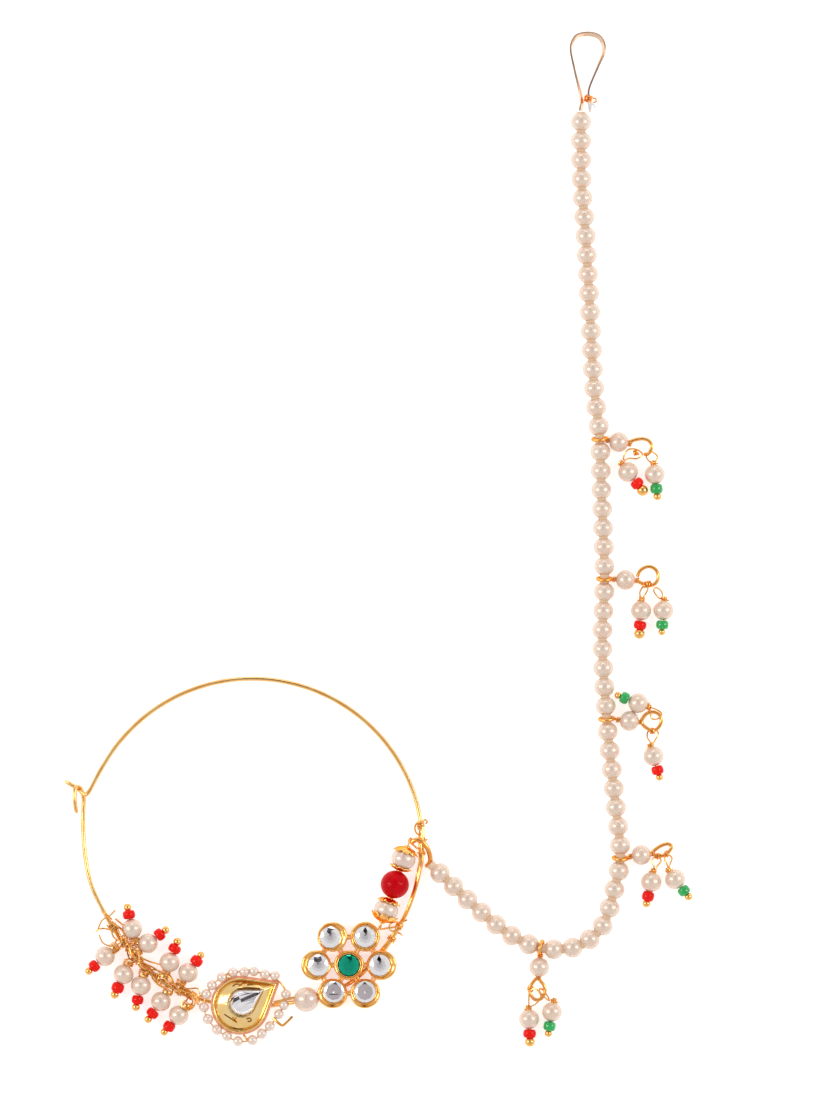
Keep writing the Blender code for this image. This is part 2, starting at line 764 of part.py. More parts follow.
def chain_ring():
    """Ring that passes over and under the hoop wire and holds the end of the string."""
    seat, _ = hoop_at(along_hoop(STACK_RUN + CHAIN_RING_PAST))
    seat.z = 0.0
    knots = [seat + Vector(row) * CHAIN_RING_REACH for row in CHAIN_RING_ROUTE]
    ring = tube(smooth(knots, 2, closed=True), CHAIN_RING_WIRE, closed=True)
    finish(as_mesh(ring), "chain_ring", gold())


def drop(name, hook, tilt, pearl_place, heading):
    """Pearl, seed and ball on a pin that ends in a wire loop round a hook point."""
    way = polar(heading, 1.0)
    seed_end = DROP_PEARL_RADIUS + DROP_SEED_LENGTH
    ball = seed_end + DROP_BALL_RADIUS * 0.9
    rows = [(-DROP_PEARL_RADIUS - DROP_NECK, DROP_WIRE_RADIUS * 2.4),
            (-DROP_PEARL_RADIUS * 0.50, DROP_PEARL_RADIUS * 0.95),
            (DROP_PEARL_RADIUS * 0.50, DROP_PEARL_RADIUS * 0.95),
            (DROP_PEARL_RADIUS, DROP_SEED_RADIUS * 0.65),
            (DROP_PEARL_RADIUS + DROP_SEED_LENGTH * 0.5, DROP_SEED_RADIUS),
            (seed_end, DROP_BALL_RADIUS * 0.6),
            (ball, DROP_BALL_RADIUS),
            (ball + DROP_BALL_RADIUS * 0.8, DROP_BALL_RADIUS * 0.4)]
    places = [pearl_place + way * row[0] for row in rows]
    body = tube(places, DROP_PEARL_RADIUS, ROUND_SIDES, radii=[row[1] for row in rows])
    rear = pearl_place + way * rows[0][0]
    loop = stirrup(hook, rear, tilt)
    finish(fused([body, loop]), name, pearl())


def stirrup(hook, rear, tilt):
    """Wire loop that passes round a hook point and narrows to the rear of a drop."""
    along = (rear - hook).normalized()
    reach = (rear - hook).length
    side = Vector((0.0, 0.0, 1.0)).cross(along).normalized()
    lean = math.radians(tilt)
    across = (side * math.cos(lean) + Vector((0.0, 0.0, 1.0)) * math.sin(lean)) * DROP_LOOP_HALF_WIDTH
    shape = [(-DROP_LOOP_PAST, -0.5), (-DROP_LOOP_PAST, 0.5), (DROP_LOOP_PAST * 0.7, 1.0),
             (reach, 0.0), (DROP_LOOP_PAST * 0.7, -1.0)]
    return tube([hook + along * run + across * share for run, share in shape], DROP_WIRE_RADIUS,
                closed=True)


def cluster():
    """Nine small drops on the lower left of the hoop wire."""
    for name, angle, share, pearl_angle, heading in CLUSTER_DROPS:
        hook, _ = hoop_at(angle)
        place = hoop_place(pearl_angle, share, DROP_HEIGHT)
        drop(name, hook, 90.0, place, heading)


def string_place(x, y, height):
    """Point of the string's route at a height, seen from the wire under its end ring."""
    seat, _ = hoop_at(along_hoop(STACK_RUN + CHAIN_RING_PAST))
    return Vector((seat.x + x * STRING_PITCH, seat.y + y * STRING_PITCH, height))


def string_line():
    """Smooth middle line of the pearl string."""
    lift = STRING_BEAD_RADIUS
    knots = [string_place(x, y, lift) for x, y in STRING_ROUTE]
    return smooth(knots, 8)


def string_rows():
    """Rings of the fused string as distance and radius, and the distance of each side link."""
    rows = [(-STRING_BEAD_RADIUS * 0.96, STRING_THREAD_RADIUS)]
    joints = []
    middle = 0.0
    for run, count in enumerate(STRING_RUNS):
        if run:
            joints.append(middle - STRING_PITCH / 2.0 + STRING_RING_SPACE / 2.0)
            rows[-1] = (joints[-1] - STRING_RING_SPACE / 2.0, STRING_THREAD_RADIUS)
            rows.append((joints[-1] + STRING_RING_SPACE / 2.0, STRING_THREAD_RADIUS))
            middle += STRING_RING_SPACE
        for _ in range(count):
            rows += bead_rings(middle, STRING_BEAD_RADIUS)
            rows.append((middle + STRING_PITCH / 2.0, STRING_THREAD_RADIUS))
            middle += STRING_PITCH
    rows[-1] = (rows[-1][0] + STRING_BEAD_RADIUS * 0.96 - STRING_PITCH / 2.0, STRING_THREAD_RADIUS)
    return rows, joints


def pearl_string():
    """The whole string of pearls as one body."""
    rows, _ = string_rows()
    shift = STRING_BEAD_RADIUS
    line = string_line()
    places = walk(line, [row[0] + shift for row in rows])
    beads = as_mesh(tube(places, STRING_BEAD_RADIUS, ROUND_SIDES, radii=[row[1] for row in rows]))
    finish(beads, "pearl_string", pearl())


def side_links():
    """Rings on the string, each with a pearl on a pin, a loop and two drops."""
    _, joints = string_rows()
    shift = STRING_BEAD_RADIUS
    line = string_line()
    middles = []
    for index, (joint, (heading, distance)) in enumerate(zip(joints, SIDE_LINKS), 1):
        before, place, after = walk(line, [joint + shift - MM, joint + shift, joint + shift + MM])
        way = polar(heading, 1.0)
        bead = place + way * distance * LINK_PEARL_RADIUS
        loop = bead + way * LINK_PEARL_TO_LOOP
        thread = (after - before).normalized()
        side = (way - thread * way.dot(thread)).normalized()
        pin = [place + side * LINK_RING_RADIUS, bead - way * LINK_PEARL_RADIUS, loop - way * LINK_LOOP_RADIUS]
        pieces = [wire_ring(place, thread, LINK_RING_RADIUS, LINK_RING_WIRE),
                  tube(pin, LINK_PIN_RADIUS),
                  wire_ring(loop, Vector((0.0, 0.0, 1.0)), LINK_LOOP_RADIUS, LINK_LOOP_WIRE)]
        finish(fused(pieces), "link_wire_%d" % index, gold())
        drilled_bead("link_pearl_%d" % index, bead, way, LINK_PEARL_RADIUS,
                     LINK_PIN_RADIUS + RUN_GAP, pearl())
        middles.append(loop)
    for name, number, angle, x, y, heading in STRING_DROPS:
        loop = middles[number - 1]
        hook = loop + polar(angle, LINK_LOOP_RADIUS)
        drop(name, hook, DROP_LOOP_TILT, loop + Vector((x, y, 0.0)) * LINK_LOOP_RADIUS, heading)


def hair_hook():
    """Flat strip on its edge, bent into a loop, with its end bound to the other side."""
    start = string_place(*STRING_ROUTE[0], 0.0) + Vector((0.0, HOOK_GAP, 0.0))
    line = [start + Vector((x * HOOK_LOOP_WIDTH, y * HOOK_LENGTH, 0.0)) for x, y in HOOK_ROUTE]
    data = bpy.data.meshes.new("strip")
    low = Vector((0.0, 0.0, HOOK_HEIGHT - HOOK_STRIP_WIDTH / 2.0))
    high = Vector((0.0, 0.0, HOOK_HEIGHT + HOOK_STRIP_WIDTH / 2.0))
    verts = [place + low for place in line] + [place + high for place in line]
    count = len(line)
    data.from_pydata(verts, [], [(i, i + 1, count + i + 1, count + i) for i in range(count - 1)])
    strip = bpy.data.objects.new("strip", data)
    wall = strip.modifiers.new("thickness", "SOLIDIFY")
    wall.thickness = HOOK_STRIP_THICKNESS
    wall.offset = 0.0
    wall.use_even_offset = True
    parts_collection().objects.link(strip)
    finish(strip, "hair_hook", gold())
    place = (line[-1] + line[-2]) / 2.0 + Vector((0.0, 0.0, HOOK_HEIGHT))
    reach = math.hypot(HOOK_STRIP_WIDTH, HOOK_STRIP_THICKNESS) / 2.0 + RUN_GAP * 2.2 + BINDING_WIRE
    coil = helix(place, line[-1] - line[-2], reach, BINDING_PITCH, 2.0)
    finish(as_mesh(tube(coil, BINDING_WIRE)), "hair_hook_binding", gold())


def clear_scene():
    """Remove what the scene holds and make the collection for the parts."""
    for obj in list(bpy.data.objects):
        bpy.data.objects.remove(obj)
    collection = bpy.data.collections.new(COLLECTION)
    bpy.context.scene.collection.children.link(collection)


def main():
    """Build the whole jewel."""
    clear_scene()
    hoop_wire()
    binding("hoop_binding", along_hoop(HOOP_BINDING_RUN), 2.5)
    chain_ring()
    stack()
    flower()
    connecting_pearl()
    kundan()
    border()
    cluster()
    binding("stem_binding_upper", STEM_UPPER_ANGLE, 2.5)
    binding("stem_binding_lower", STEM_LOWER_ANGLE, 2.0)
    pearl_string()
    side_links()
    hair_hook()


main()
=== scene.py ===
"""Looks for the clip-on bridal nose pin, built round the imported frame. Sizes are in metres."""
import math
import random

import bmesh
import bpy
from mathutils import Matrix, Vector
from mathutils.bvhtree import BVHTree


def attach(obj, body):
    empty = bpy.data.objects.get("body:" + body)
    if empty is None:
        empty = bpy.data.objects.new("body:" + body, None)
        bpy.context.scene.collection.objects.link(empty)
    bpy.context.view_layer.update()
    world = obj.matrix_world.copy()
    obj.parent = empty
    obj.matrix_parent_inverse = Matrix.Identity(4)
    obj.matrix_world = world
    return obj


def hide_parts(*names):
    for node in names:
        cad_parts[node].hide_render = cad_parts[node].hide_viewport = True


MM = 0.001
# Starts of the random draws
DRAWS = {"flower": 7, "border": 3, "bundle": 5, "string": 11, "string_drops": 40}

# Picture
VIEW_MIDDLE = (11.90 * MM, 74.47 * MM)
VIEW_HEIGHT = 198.36 * MM
VIEW_PLANE = 1.5 * MM
CAMERA_DISTANCE = 1.20
SENSOR = 36.0

# Floor and light
FLOOR_HALF = 1.6
FLOOR_DROP = 0.03 * MM
FLOOR_SHADE = (0.76, 0.76, 0.76)
FLOOR_LIGHT = (0.80, 0.80, 0.80)
FLOOR_GLOW = 0.58
SKY_POWER = 0.78
SKY_LOW = (1.0, 0.99, 0.98)
SKY_TOP = (0.52, 0.50, 0.50)
SKY_BANDS = [(0.50, (1.0, 0.99, 0.98)), (0.78, (1.0, 0.98, 0.97)), (0.90, (0.80, 0.77, 0.77)),
             (0.96, (0.62, 0.59, 0.59))]
FLAG_MIDDLE = (0.03, 0.45, 0.84)   # direction of the dark card that the stones mirror
FLAG_SPREAD = (0.17, 0.42, 1.0)
FLAG_SHADE = (0.04, 0.035, 0.04)
FLAG_EDGE = 0.75                    # where the card's soft edge begins, as a share of its spread
LIGHTS = [
    ("softbox_left", (-0.70, 0.12, 0.66), (0.26, 0.52), 2.6, (1.0, 0.98, 0.95)),
    ("softbox_right", (0.76, 0.17, 0.62), (0.24, 0.48), 2.2, (1.0, 0.98, 0.96)),
    ("softbox_far", (0.0, 0.95, 0.42), (0.5, 0.18), 0.7, (1.0, 0.99, 0.98)),
]

# Plated gold and brass: name, pale and deep tone, least and most roughness, depth of the dents
GOLD_LOOKS = {
    "gold": ("gold_cast", (1.0, 0.62, 0.22), (1.0, 0.47, 0.11), 0.12, 0.20, 0.07 * MM),
    "cap_gold": ("gold_cap", (1.0, 0.66, 0.24), (1.0, 0.47, 0.11), 0.14, 0.24, 0.07 * MM),
    "kundan_gold": ("gold_kundan", (1.0, 0.76, 0.36), (1.0, 0.64, 0.24), 0.12, 0.20, 0.05 * MM),
    # Dark brown lines painted as shade in the creases of the kundan setting
    "crease": ("gold_crease", (0.34, 0.14, 0.02), (0.34, 0.14, 0.02), 0.30, 0.40, 0.01 * MM),
    "wire": ("gold_wire", (0.98, 0.66, 0.30), (0.94, 0.50, 0.16), 0.16, 0.24, 0.003 * MM),
    "fine_wire": ("gold_fine_wire", (0.94, 0.54, 0.19), (0.80, 0.38, 0.09), 0.22, 0.36, 0.01 * MM),
    "drop_gold": ("gold_drop", (0.94, 0.54, 0.19), (0.94, 0.50, 0.16), 0.14, 0.26, 0.01 * MM),
    "link_wire": ("gold_link", (1.0, 0.52, 0.17), (0.88, 0.38, 0.08), 0.16, 0.26, 0.004 * MM),
    "coil": ("gold_coil", (1.0, 0.42, 0.10), (0.90, 0.26, 0.04), 0.22, 0.34, 0.004 * MM),
    "strip": ("gold_strip", (0.98, 0.74, 0.54), (0.90, 0.60, 0.42), 0.22, 0.34, 0.02 * MM),
    # Darker copy of the strip's gold, painted shade on its narrow sides and ends
    "strip_edge": ("gold_strip_edge", (0.42, 0.31, 0.24), (0.42, 0.31, 0.24), 0.30, 0.40, 0.004 * MM),
}
# Pearls: name, light tone, blush and cloud
PEARL_LOOKS = {
    "pearl": ("pearl_string", (0.81, 0.66, 0.55), (0.81, 0.63, 0.52), (0.78, 0.64, 0.54)),
    "big_pearl": ("pearl_large", (0.81, 0.66, 0.55), (0.80, 0.63, 0.56), (0.78, 0.64, 0.54)),
    "seed_pearl": ("pearl_seed", (0.87, 0.72, 0.64), (0.86, 0.69, 0.62), (0.84, 0.70, 0.62)),
}
# Glass beads: name, light and deep tone, roughness, transmission, coat, gloss
GLASS_LOOKS = {
    "red_bead": ("bead_red", (0.60, 0.0, 0.006), (0.48, 0.0, 0.004), 0.26, 0.0, 0.12, 0.04),
    "red_seed": ("seed_red", (0.92, 0.016, 0.006), (0.78, 0.004, 0.002), 0.24, 0.0, 0.18, 0.10),
    "green_seed": ("seed_green", (0.02, 0.56, 0.13), (0.0, 0.40, 0.07), 0.08, 0.25, 0.5, 0.5),
}
# Stones over foil: name, light and shaded tone, coat
STONE_LOOKS = {
    "emerald": ("stone_emerald", (0.0, 0.60, 0.37), (0.0, 0.42, 0.25), 0.3),
    # Dark ring painted as the collet's shadow round the emerald's rim
    "emerald_rim": ("stone_emerald_rim", (0.0, 0.07, 0.04), (0.0, 0.07, 0.04), 0.4),
    "foil_stone": ("stone_foil", (0.97, 0.97, 0.99), (0.86, 0.85, 0.90), 1.0),
    # Dark look painted as a reflection in some facets of the stones
    "foil_dark_reflection": ("stone_wedge", (0.16, 0.15, 0.17), (0.05, 0.045, 0.05), 0.4),
    "foil_table": ("stone_table", (0.92, 0.86, 0.90), (0.80, 0.75, 0.81), 0.6),
}
# Threads: name, light and deep tone
THREAD_LOOKS = {
    # The string's thread, coloured as painted warm shade in the gaps between pearls
    "neck": ("pearl_neck", (0.80, 0.61, 0.42), (0.74, 0.52, 0.33)),
    "pale_thread": ("pale_thread", (0.72, 0.78, 0.86), (0.60, 0.66, 0.76)),
    "pink_thread": ("pink_thread", (0.95, 0.74, 0.64), (0.86, 0.62, 0.52)),
    "coral": ("coral_thread", (0.95, 0.50, 0.36), (0.85, 0.34, 0.22)),
}
GOLD_EDGE = (0.82, 0.38, 0.11, 1.0)    # tone of gold where it is seen at a slant
PEARL_EDGE = (0.62, 0.52, 0.46, 1.0)
PEARL_BORE_SHADE = (0.78, 0.54, 0.35, 1.0)    # painted warm shade at a pearl's bore, where it meets its neighbours

# Hoop and bead stack
UP = Vector((0.0, 0.0, 1.0))
TWIST_WIRE = 0.26 * MM
TWIST_PITCH = 62.0 * MM
TWIST_FROM, TWIST_TO = 9.0, -41.0      # angles round the hoop
TWIST_STEPS = 150
RED_BEAD_GROWTH = 1.045
CAP_LOBES = 8
CAP_FLARE = 0.07
CAP_RIB = 0.03
CAP_SIDES, CAP_ROWS = 64, 8
CAP_FROM = 8.0                         # angle of a cap's inner edge from its axis
CAP_REACHES = {"top_outer": 58.0, "top_inner": 47.0, "bottom_inner": 50.0, "bottom_outer": 68.0}
STACK_TIES = ((9.0 * MM, 2.5), (25.4 * MM, 1.5))   # run along the hoop and turns
# Loose wire at both ends of the stack, mm
STACK_LOOPS = (
    ((13.1, 25.7, 1.5), (12.3, 25.6, 1.9), (11.85, 24.7, 2.0), (12.1, 23.8, 1.9), (12.7, 23.3, 1.6)),
    ((13.3, 25.9, 1.9), (13.8, 26.1, 2.0), (14.1, 25.8, 1.8), (13.9, 25.4, 1.5)),
    ((11.6, 22.3, 1.5), (11.1, 22.8, 1.7), (10.9, 22.4, 1.7)),
    ((13.5, 22.9, 1.4), (13.8, 22.4, 1.6), (14.1, 22.6, 1.5)),
    ((8.9, 7.7, 2.0), (8.2, 7.75, 2.2), (7.4, 7.3, 2.2), (7.3, 6.5, 2.0), (7.9, 6.05, 1.9), (8.6, 6.3, 1.8)),
    ((9.5, 7.7, 1.9), (10.1, 7.9, 2.0), (10.5, 8.1, 1.9)),
    ((8.8, 5.8, 1.8), (9.3, 5.6, 1.9), (9.6, 5.3, 1.7)),
)

# Flower: clear stones from the right-hand petal round, with the shift of the bowl in mm, turn and cut
FLOWER_STONES = ((-0.34, 0.02, 74.0, "dome"), (0.0, 0.05, 69.0, "dome"), (-0.40, -0.05, 83.0, "dome"),
                 (0.40, 0.0, 95.0, "dome"), (0.24, 0.30, 20.0, "table"), (-0.04, 0.30, 31.0, "table"))
# Cuts: facets to a ring, look of the second facets, where they lie as shares of the radius and headings,
# and the rings of corners as shares of a stone's radius and rise
STONE_CUTS = {
    # On the domed stones the second facets take a painted dark reflection
    "dome": (9, "foil_dark_reflection", (0.10, 0.80), (2.0, 38.0),
             ((0.84, 0.66), (0.56, 0.86), (0.28, 0.97), (0.09, 1.0))),
    "table": (9, "foil_table", (0.05, 0.62), (-1.0, 361.0),
              ((0.88, 0.60), (0.70, 0.74), (0.10, 0.78), (0.05, 0.72))),
    # On the emerald the outer facets take the painted shadow of its collet
    "green": (10, "emerald_rim", (0.86, 9.0), (-1.0, 361.0),
              ((0.90, 0.42), (0.84, 0.56), (0.50, 0.66), (0.20, 0.70), (0.08, 0.71))),
}
STONE_BREADTH = 1.05
STONE_BACK = 0.93                      # foil back as a share of the girdle
GIRDLE_RISE = 0.36                     # height of the girdle as a share of the stone's rise
# Dark marks painted as reflections in the two flat stones: number of the petal and places from the stone's
# middle in mm
TABLE_REFLECTION_MARKS = (
    (4, ((-0.20, 0.52), (-0.08, 0.50))), (4, ((-0.80, -0.42), (0.0, -0.46), (0.78, -0.40))),
    (5, ((0.26, 0.04), (0.38, 0.0))),
)
MARK_RISE = 0.77
MARK_RADIUS = 0.09 * MM

# Kundan drop
KUNDAN_SEAT = 2.50 * MM                # from the rim in to the stone
KUNDAN_SWELL = 1.12
KUNDAN_LIFT = 0.28 * MM
STONE_SHIFT = Vector((0.45 * MM, 0.62 * MM, 0.0))
SHIFT_FROM = 0.6 * MM                  # from the rim in to where the shift begins
STRIPES = 8
STRIPE_HEADING = 24.0
STRIPE_SPLIT = -1.1 * MM
STRIPE_MIDDLE = 1.0 * MM               # from the pear's middle towards its tip
STRIPE_RISE = 0.20 * MM
DARK_REFLECTION_FACETS = {(5, False), (4, True)}  # stripes painted with a dark reflection: number of the stripe, and whether past the split
# Radius of the dark lines painted as shade in the creases
CREASE_SHADE_RADIUS = 0.13 * MM
RAY_HEIGHT = 10.0 * MM                 # from where rays find the foil under a crease
CORAL_RADIUS = 0.28 * MM
BORDER_THREAD = 0.12 * MM
BORDER_BORE, BORDER_DIMPLE = 0.16 * MM, 0.12 * MM
# Seed pearls round the kundan setting from the flower's middle, mm
BORDER_PLACES = (
    (-13.30, -1.94), (-15.10, -1.67), (-17.08, -1.13), (-18.79, -1.22), (-20.86, -1.31), (-22.84, -2.21),
    (-24.64, -3.65), (-25.63, -5.27), (-26.08, -7.61), (-25.36, -9.77), (-23.74, -11.68), (-21.94, -12.83),
    (-19.96, -13.73), (-17.35, -13.55), (-15.64, -12.40), (-14.20, -11.03), (-12.58, -8.87),
    (-11.68, -7.25), (-11.32, -5.27),
)
# Creases in the foil of the kundan setting, mm, where dark lines are painted as shade
CREASES = (
    ((-20.9, -3.8), (-20.3, -3.4), (-19.6, -3.5)), ((-19.7, -3.8), (-19.1, -3.3), (-18.5, -3.2)),
    ((-18.3, -3.55), (-17.2, -3.5)), ((-20.0, -4.2), (-18.2, -4.0), (-15.9, -4.15)),
    ((-22.4, -8.8), (-21.3, -9.5), (-20.1, -10.3)), ((-20.9, -9.3), (-20.1, -10.1)),
    ((-20.9, -9.9), (-20.2, -9.4)), ((-18.4, -9.6), (-17.7, -9.5), (-17.6, -10.0), (-18.2, -10.1)),
)
# Wires at the kundan drop: radius and places in mm
KUNDAN_WIRES = (
    (0.26, ((-13.5, -6.75, 2.3), (-11.5, -6.25, 2.35), (-9.3, -5.75, 2.3))),
    (0.26, ((-13.6, -9.5, 2.2), (-12.9, -10.2, 2.5), (-11.97, -10.85, 2.6), (-11.2, -10.3, 2.7),
            (-10.12, -9.23, 2.6))),
    (0.17, ((-13.6, -2.4, 2.4), (-12.5, -3.0, 2.7), (-11.8, -3.8, 2.6), (-11.4, -4.6, 2.3))),
    (0.20, ((-18.9, -12.6, 2.3), (-18.5, -13.1, 2.7), (-18.2, -13.6, 2.3))),
    (0.15, ((-21.9, -2.6, 2.5), (-21.6, -2.0, 2.7), (-21.9, -1.4, 2.3))),
)

# Drops and cluster
# Vertex layer that holds how much painted warm shade lies near a pearl's bore
BORE_SHADE_LAYER = "bore_painted_shade"
BORE_SHADE_POWER = 6                         # how closely the painted warm shade keeps to a pearl's bore
COIL_WIRE = 0.15 * MM
COIL_RADIUS = 0.72 * MM
NECK_RADIUS = 0.30 * MM
LOOP_LIFT = 0.55 * MM
DROP_BORE, DROP_DIMPLE = 0.22 * MM, 0.16 * MM
SEED_BORE = 0.17 * MM
TAIL_LENGTH, TAIL_LIFT = 0.9 * MM, 0.3 * MM   # loose end at a string drop's coil
STEM_PAST, STEM_SIDE = 0.75 * MM, 0.4 * MM    # ends of a cluster drop's stems beyond the hoop wire
STRAND_COUNT, STRAND_KNOTS = 5, 10
STRAND_REACH = 0.95 * MM
STRAND_FROM, STRAND_TO = -109.0, -153.0
TIE_RADIUS = 0.58 * MM
TIES = ((-151.0, 4), (-143.6, 2), (-135.4, 2), (-126.5, 2), (-117.0, 2), (-112.6, 3))   # angle and turns
# Wire loops of the string drops from each pearl's middle, mm
DROP_LOOPS = {
    "1_red": ((-0.75, 2.20), (-0.65, 3.20), (0.07, 4.05), (1.44, 4.10), (2.60, 3.25), (1.69, 2.45),
        (0.30, 2.50)),
    "1_green": ((-0.40, 2.00), (-1.30, 2.70), (-1.50, 3.50), (-0.65, 4.10), (0.43, 3.40), (0.30, 2.50)),
    "2_red": ((0.10, 2.20), (-0.25, 3.20), (0.40, 4.35), (1.20, 4.60), (1.15, 3.60), (0.55, 2.60)),
    "2_green": ((-0.55, 2.10), (-1.25, 2.70), (-1.75, 3.55), (-1.35, 4.10), (-0.45, 3.55), (-0.15, 2.70)),
    "3_green": ((2.10, -0.85), (3.20, -1.10), (4.20, -1.80), (3.95, -2.40), (3.30, -2.90),
        (2.50, -2.80), (2.20, -1.80)),
    "3_red": ((-0.14, 2.05), (-0.70, 2.75), (-1.13, 3.50), (-1.00, 4.40), (-0.10, 4.80), (0.85, 4.35),
        (0.65, 3.50), (0.20, 2.70)),
    "4_red": ((0.65, 2.05), (0.45, 2.90), (0.15, 3.90), (0.85, 4.60), (1.80, 3.90), (1.10, 2.80)),
    "4_green": ((-1.15, 2.15), (-1.55, 2.90), (-1.90, 3.80), (-1.20, 4.40), (-0.55, 3.80), (-0.85, 2.80)),
    "5_red": ((0.10, 2.35), (-0.05, 3.60), (0.10, 5.00), (0.80, 5.50), (1.70, 5.05), (2.10, 3.90),
        (1.30, 2.80)),
    "5_green": ((-0.50, 2.05), (-1.40, 2.75), (-2.15, 3.60), (-2.10, 4.20), (-1.45, 3.80), (-0.70, 2.70)),
}
# Balls that differ from the rest, as shares of the usual radius
BALL_SHARES = {"string_drop_1_red": 1.38, "string_drop_2_red": 1.32, "string_drop_5_red": 1.21,
               "string_drop_2_green": 0.86, "string_drop_3_green": 0.86}
# Loose wire ends of the cluster from the flower's middle, mm: x, y, height
WHISKERS = (
    ((-45.2, 6.2, 2.4), (-44.4, 8.0, 2.9), (-42.9, 9.0, 3.2), (-42.0, 9.9, 3.0)),
    ((-44.5, 9.6, 2.3), (-43.6, 9.2, 2.8), (-42.6, 8.2, 2.6)),
    ((-45.6, 6.0, 2.4), (-44.4, 6.6, 2.8), (-43.0, 6.4, 2.5)),
    ((-44.9, 5.4, 2.4), (-44.2, 4.0, 2.8), (-42.4, 3.4, 2.9), (-40.9, 4.4, 2.6), (-41.6, 6.4, 2.3)),
    ((-42.6, 7.6, 2.4), (-41.0, 6.6, 2.9), (-39.6, 4.9, 2.6)),
    ((-37.5, 1.5, 2.6), (-36.2, 0.8, 2.9), (-34.0, 0.1, 2.7)),
    ((-28.2, -5.4, 2.6), (-27.6, -6.6, 2.9), (-28.4, -7.9, 3.0), (-29.9, -7.6, 2.9), (-30.0, -6.2, 2.6)),
    ((-30.8, -3.2, 2.5), (-29.2, -4.2, 2.9), (-27.2, -4.2, 2.9), (-26.9, -5.4, 2.7), (-28.6, -5.6, 2.4)),
    ((-35.5, -2.2, 2.4), (-34.2, -3.6, 2.8), (-32.4, -4.4, 2.4)),
    ((-43.9, 2.9, 2.2), (-42.8, 2.2, 2.6), (-41.4, 2.6, 2.4)),
)

# String, side links and hair hook
# Thread of the string, thickened so that it fills the gaps between pearls with painted warm shade
THREAD_SHADE_TUBE = 0.82 * MM
STRING_BORE, STRING_DIMPLE = 0.26 * MM, 0.20 * MM
RING_TILT = 11.0
LOOP_START_LIFT, LOOP_END_LIFT = 0.10 * MM, 0.15 * MM   # ends of an open loop's wire
# Loops of the side links from each loop's middle, mm, and whether the wire closes
LINK_LOOPS = (
    (False, ((-2.3, 0.62), (-0.99, 1.08), (0.27, 1.26), (1.35, 0.90), (1.89, 0.09), (1.71, -0.90),
             (1.17, -1.50), (0.50, -1.55))),
    (False, ((-1.95, 0.75), (-1.44, 1.80), (-0.36, 2.50), (0.75, 2.45), (1.60, 1.70), (1.80, 0.54),
             (1.26, -0.50), (0.10, -0.85), (-1.10, -0.45), (-2.3, 0.25))),
    (True, ((1.70, 0.30), (1.40, 1.40), (0.40, 1.95), (-0.75, 1.75), (-1.65, 0.80), (-1.75, -0.10),
            (-0.90, -0.95), (0.20, -1.40), (1.20, -0.85))),
    (True, ((-1.95, -0.10), (-1.30, 0.55), (-0.20, 1.20), (0.85, 1.40), (1.40, 0.95), (1.10, 0.20),
            (0.30, -0.50), (-0.70, -0.80), (-1.60, -0.60))),
    (True, ((0.0, 2.10), (-0.70, 1.45), (-1.28, 0.50), (-1.36, -0.50), (-0.80, -1.50), (0.0, -1.85),
            (0.80, -1.45), (1.32, -0.45), (1.22, 0.65), (0.62, 1.50))),
)
# Fine wire wound on those loops: link, x and y from the loop's middle in mm, heading, turns
LINK_TIES = ((1, -0.92, -1.19, 10.0, 2.5), (2, -0.10, -0.62, 12.0, 4.5), (3, 0.10, -1.45, 0.0, 2.5),
             (4, -1.04, -0.80, -20.0, 2.0), (4, 0.55, -0.40, 35.0, 2.0), (5, -1.30, 0.20, 85.0, 2.5))
# Where the hook's strip leans over: angle, middle and spread as shares of its length
HOOK_TILTS = ((55.0, 0.52, 0.16), (38.5, 0.0, 0.14))
HOOK_PAST = Vector((-0.16, -0.70, 0.0)) * MM
STRIP_SECTION = ((-0.5, -0.30), (-0.44, -0.5), (0.44, -0.5), (0.5, -0.30), (0.5, 0.30), (0.44, 0.5),
                 (-0.44, 0.5), (-0.5, 0.30))
STRIP_BROAD = (1, 5)                   # broad sides of that section; the rest take the strip's gold darkened as painted shade
# Wire and thread ends at the hair hook: radius and places in mm
HOOK_TAIL = (0.13, ((43.9, 156.0, 1.3), (44.4, 155.9, 1.4), (44.5, 155.4, 1.4), (44.0, 155.2, 1.3)))
HOOK_THREADS = (
    ("hair_hook_thread_pink", "pink_thread", 0.26,
     ((43.4, 155.6, 1.1), (43.5, 154.6, 1.3), (43.4, 153.5, 1.2))),
    ("hair_hook_thread_pale", "pale_thread", 0.13,
     ((43.1, 155.4, 1.2), (43.3, 153.9, 1.5), (43.8, 155.0, 1.5), (44.3, 154.3, 1.2))),
)

# Shared fits
RUN_GAP = 0.10 * MM          # a wire in a bore or a channel
SEAT_GAP = 0.10 * MM         # a stone, cap or bead against its neighbour

# Hoop wire
WIRE_RADIUS = 0.375 * MM
HOOP_RADIUS = 30.85 * MM
HOOP_STEPS = 4
HOOP_FINE_STEPS = 6
HOOP_BEND = 11.0             # turn between two points of the wire
HOOP_REACH = 4.5 * MM        # longest run between two points of the wire
REST_HEIGHT = WIRE_RADIUS + 0.05 * MM

# Flower
PETAL_COUNT = 6
COLLET_RADIUS = 2.68 * MM
COLLET_WALL = 0.68 * MM
COLLET_SIDES = 56
PETAL_RING = 5.87 * MM
FLOWER_FLOOR = 2.60 * MM
FLOWER_RIM = 3.30 * MM
FLOWER_STONE_RISE = 1.05 * MM
BRIDGE_RADIUS = 0.62 * MM
BRIDGE_SINK = 0.35 * MM      # from the rim down to the top of the solder
FLOWER_ANGLE = -49.8         # place of the flower round the hoop
FLOWER_INSET = 2.75 * MM     # from the wire in to the flower's middle

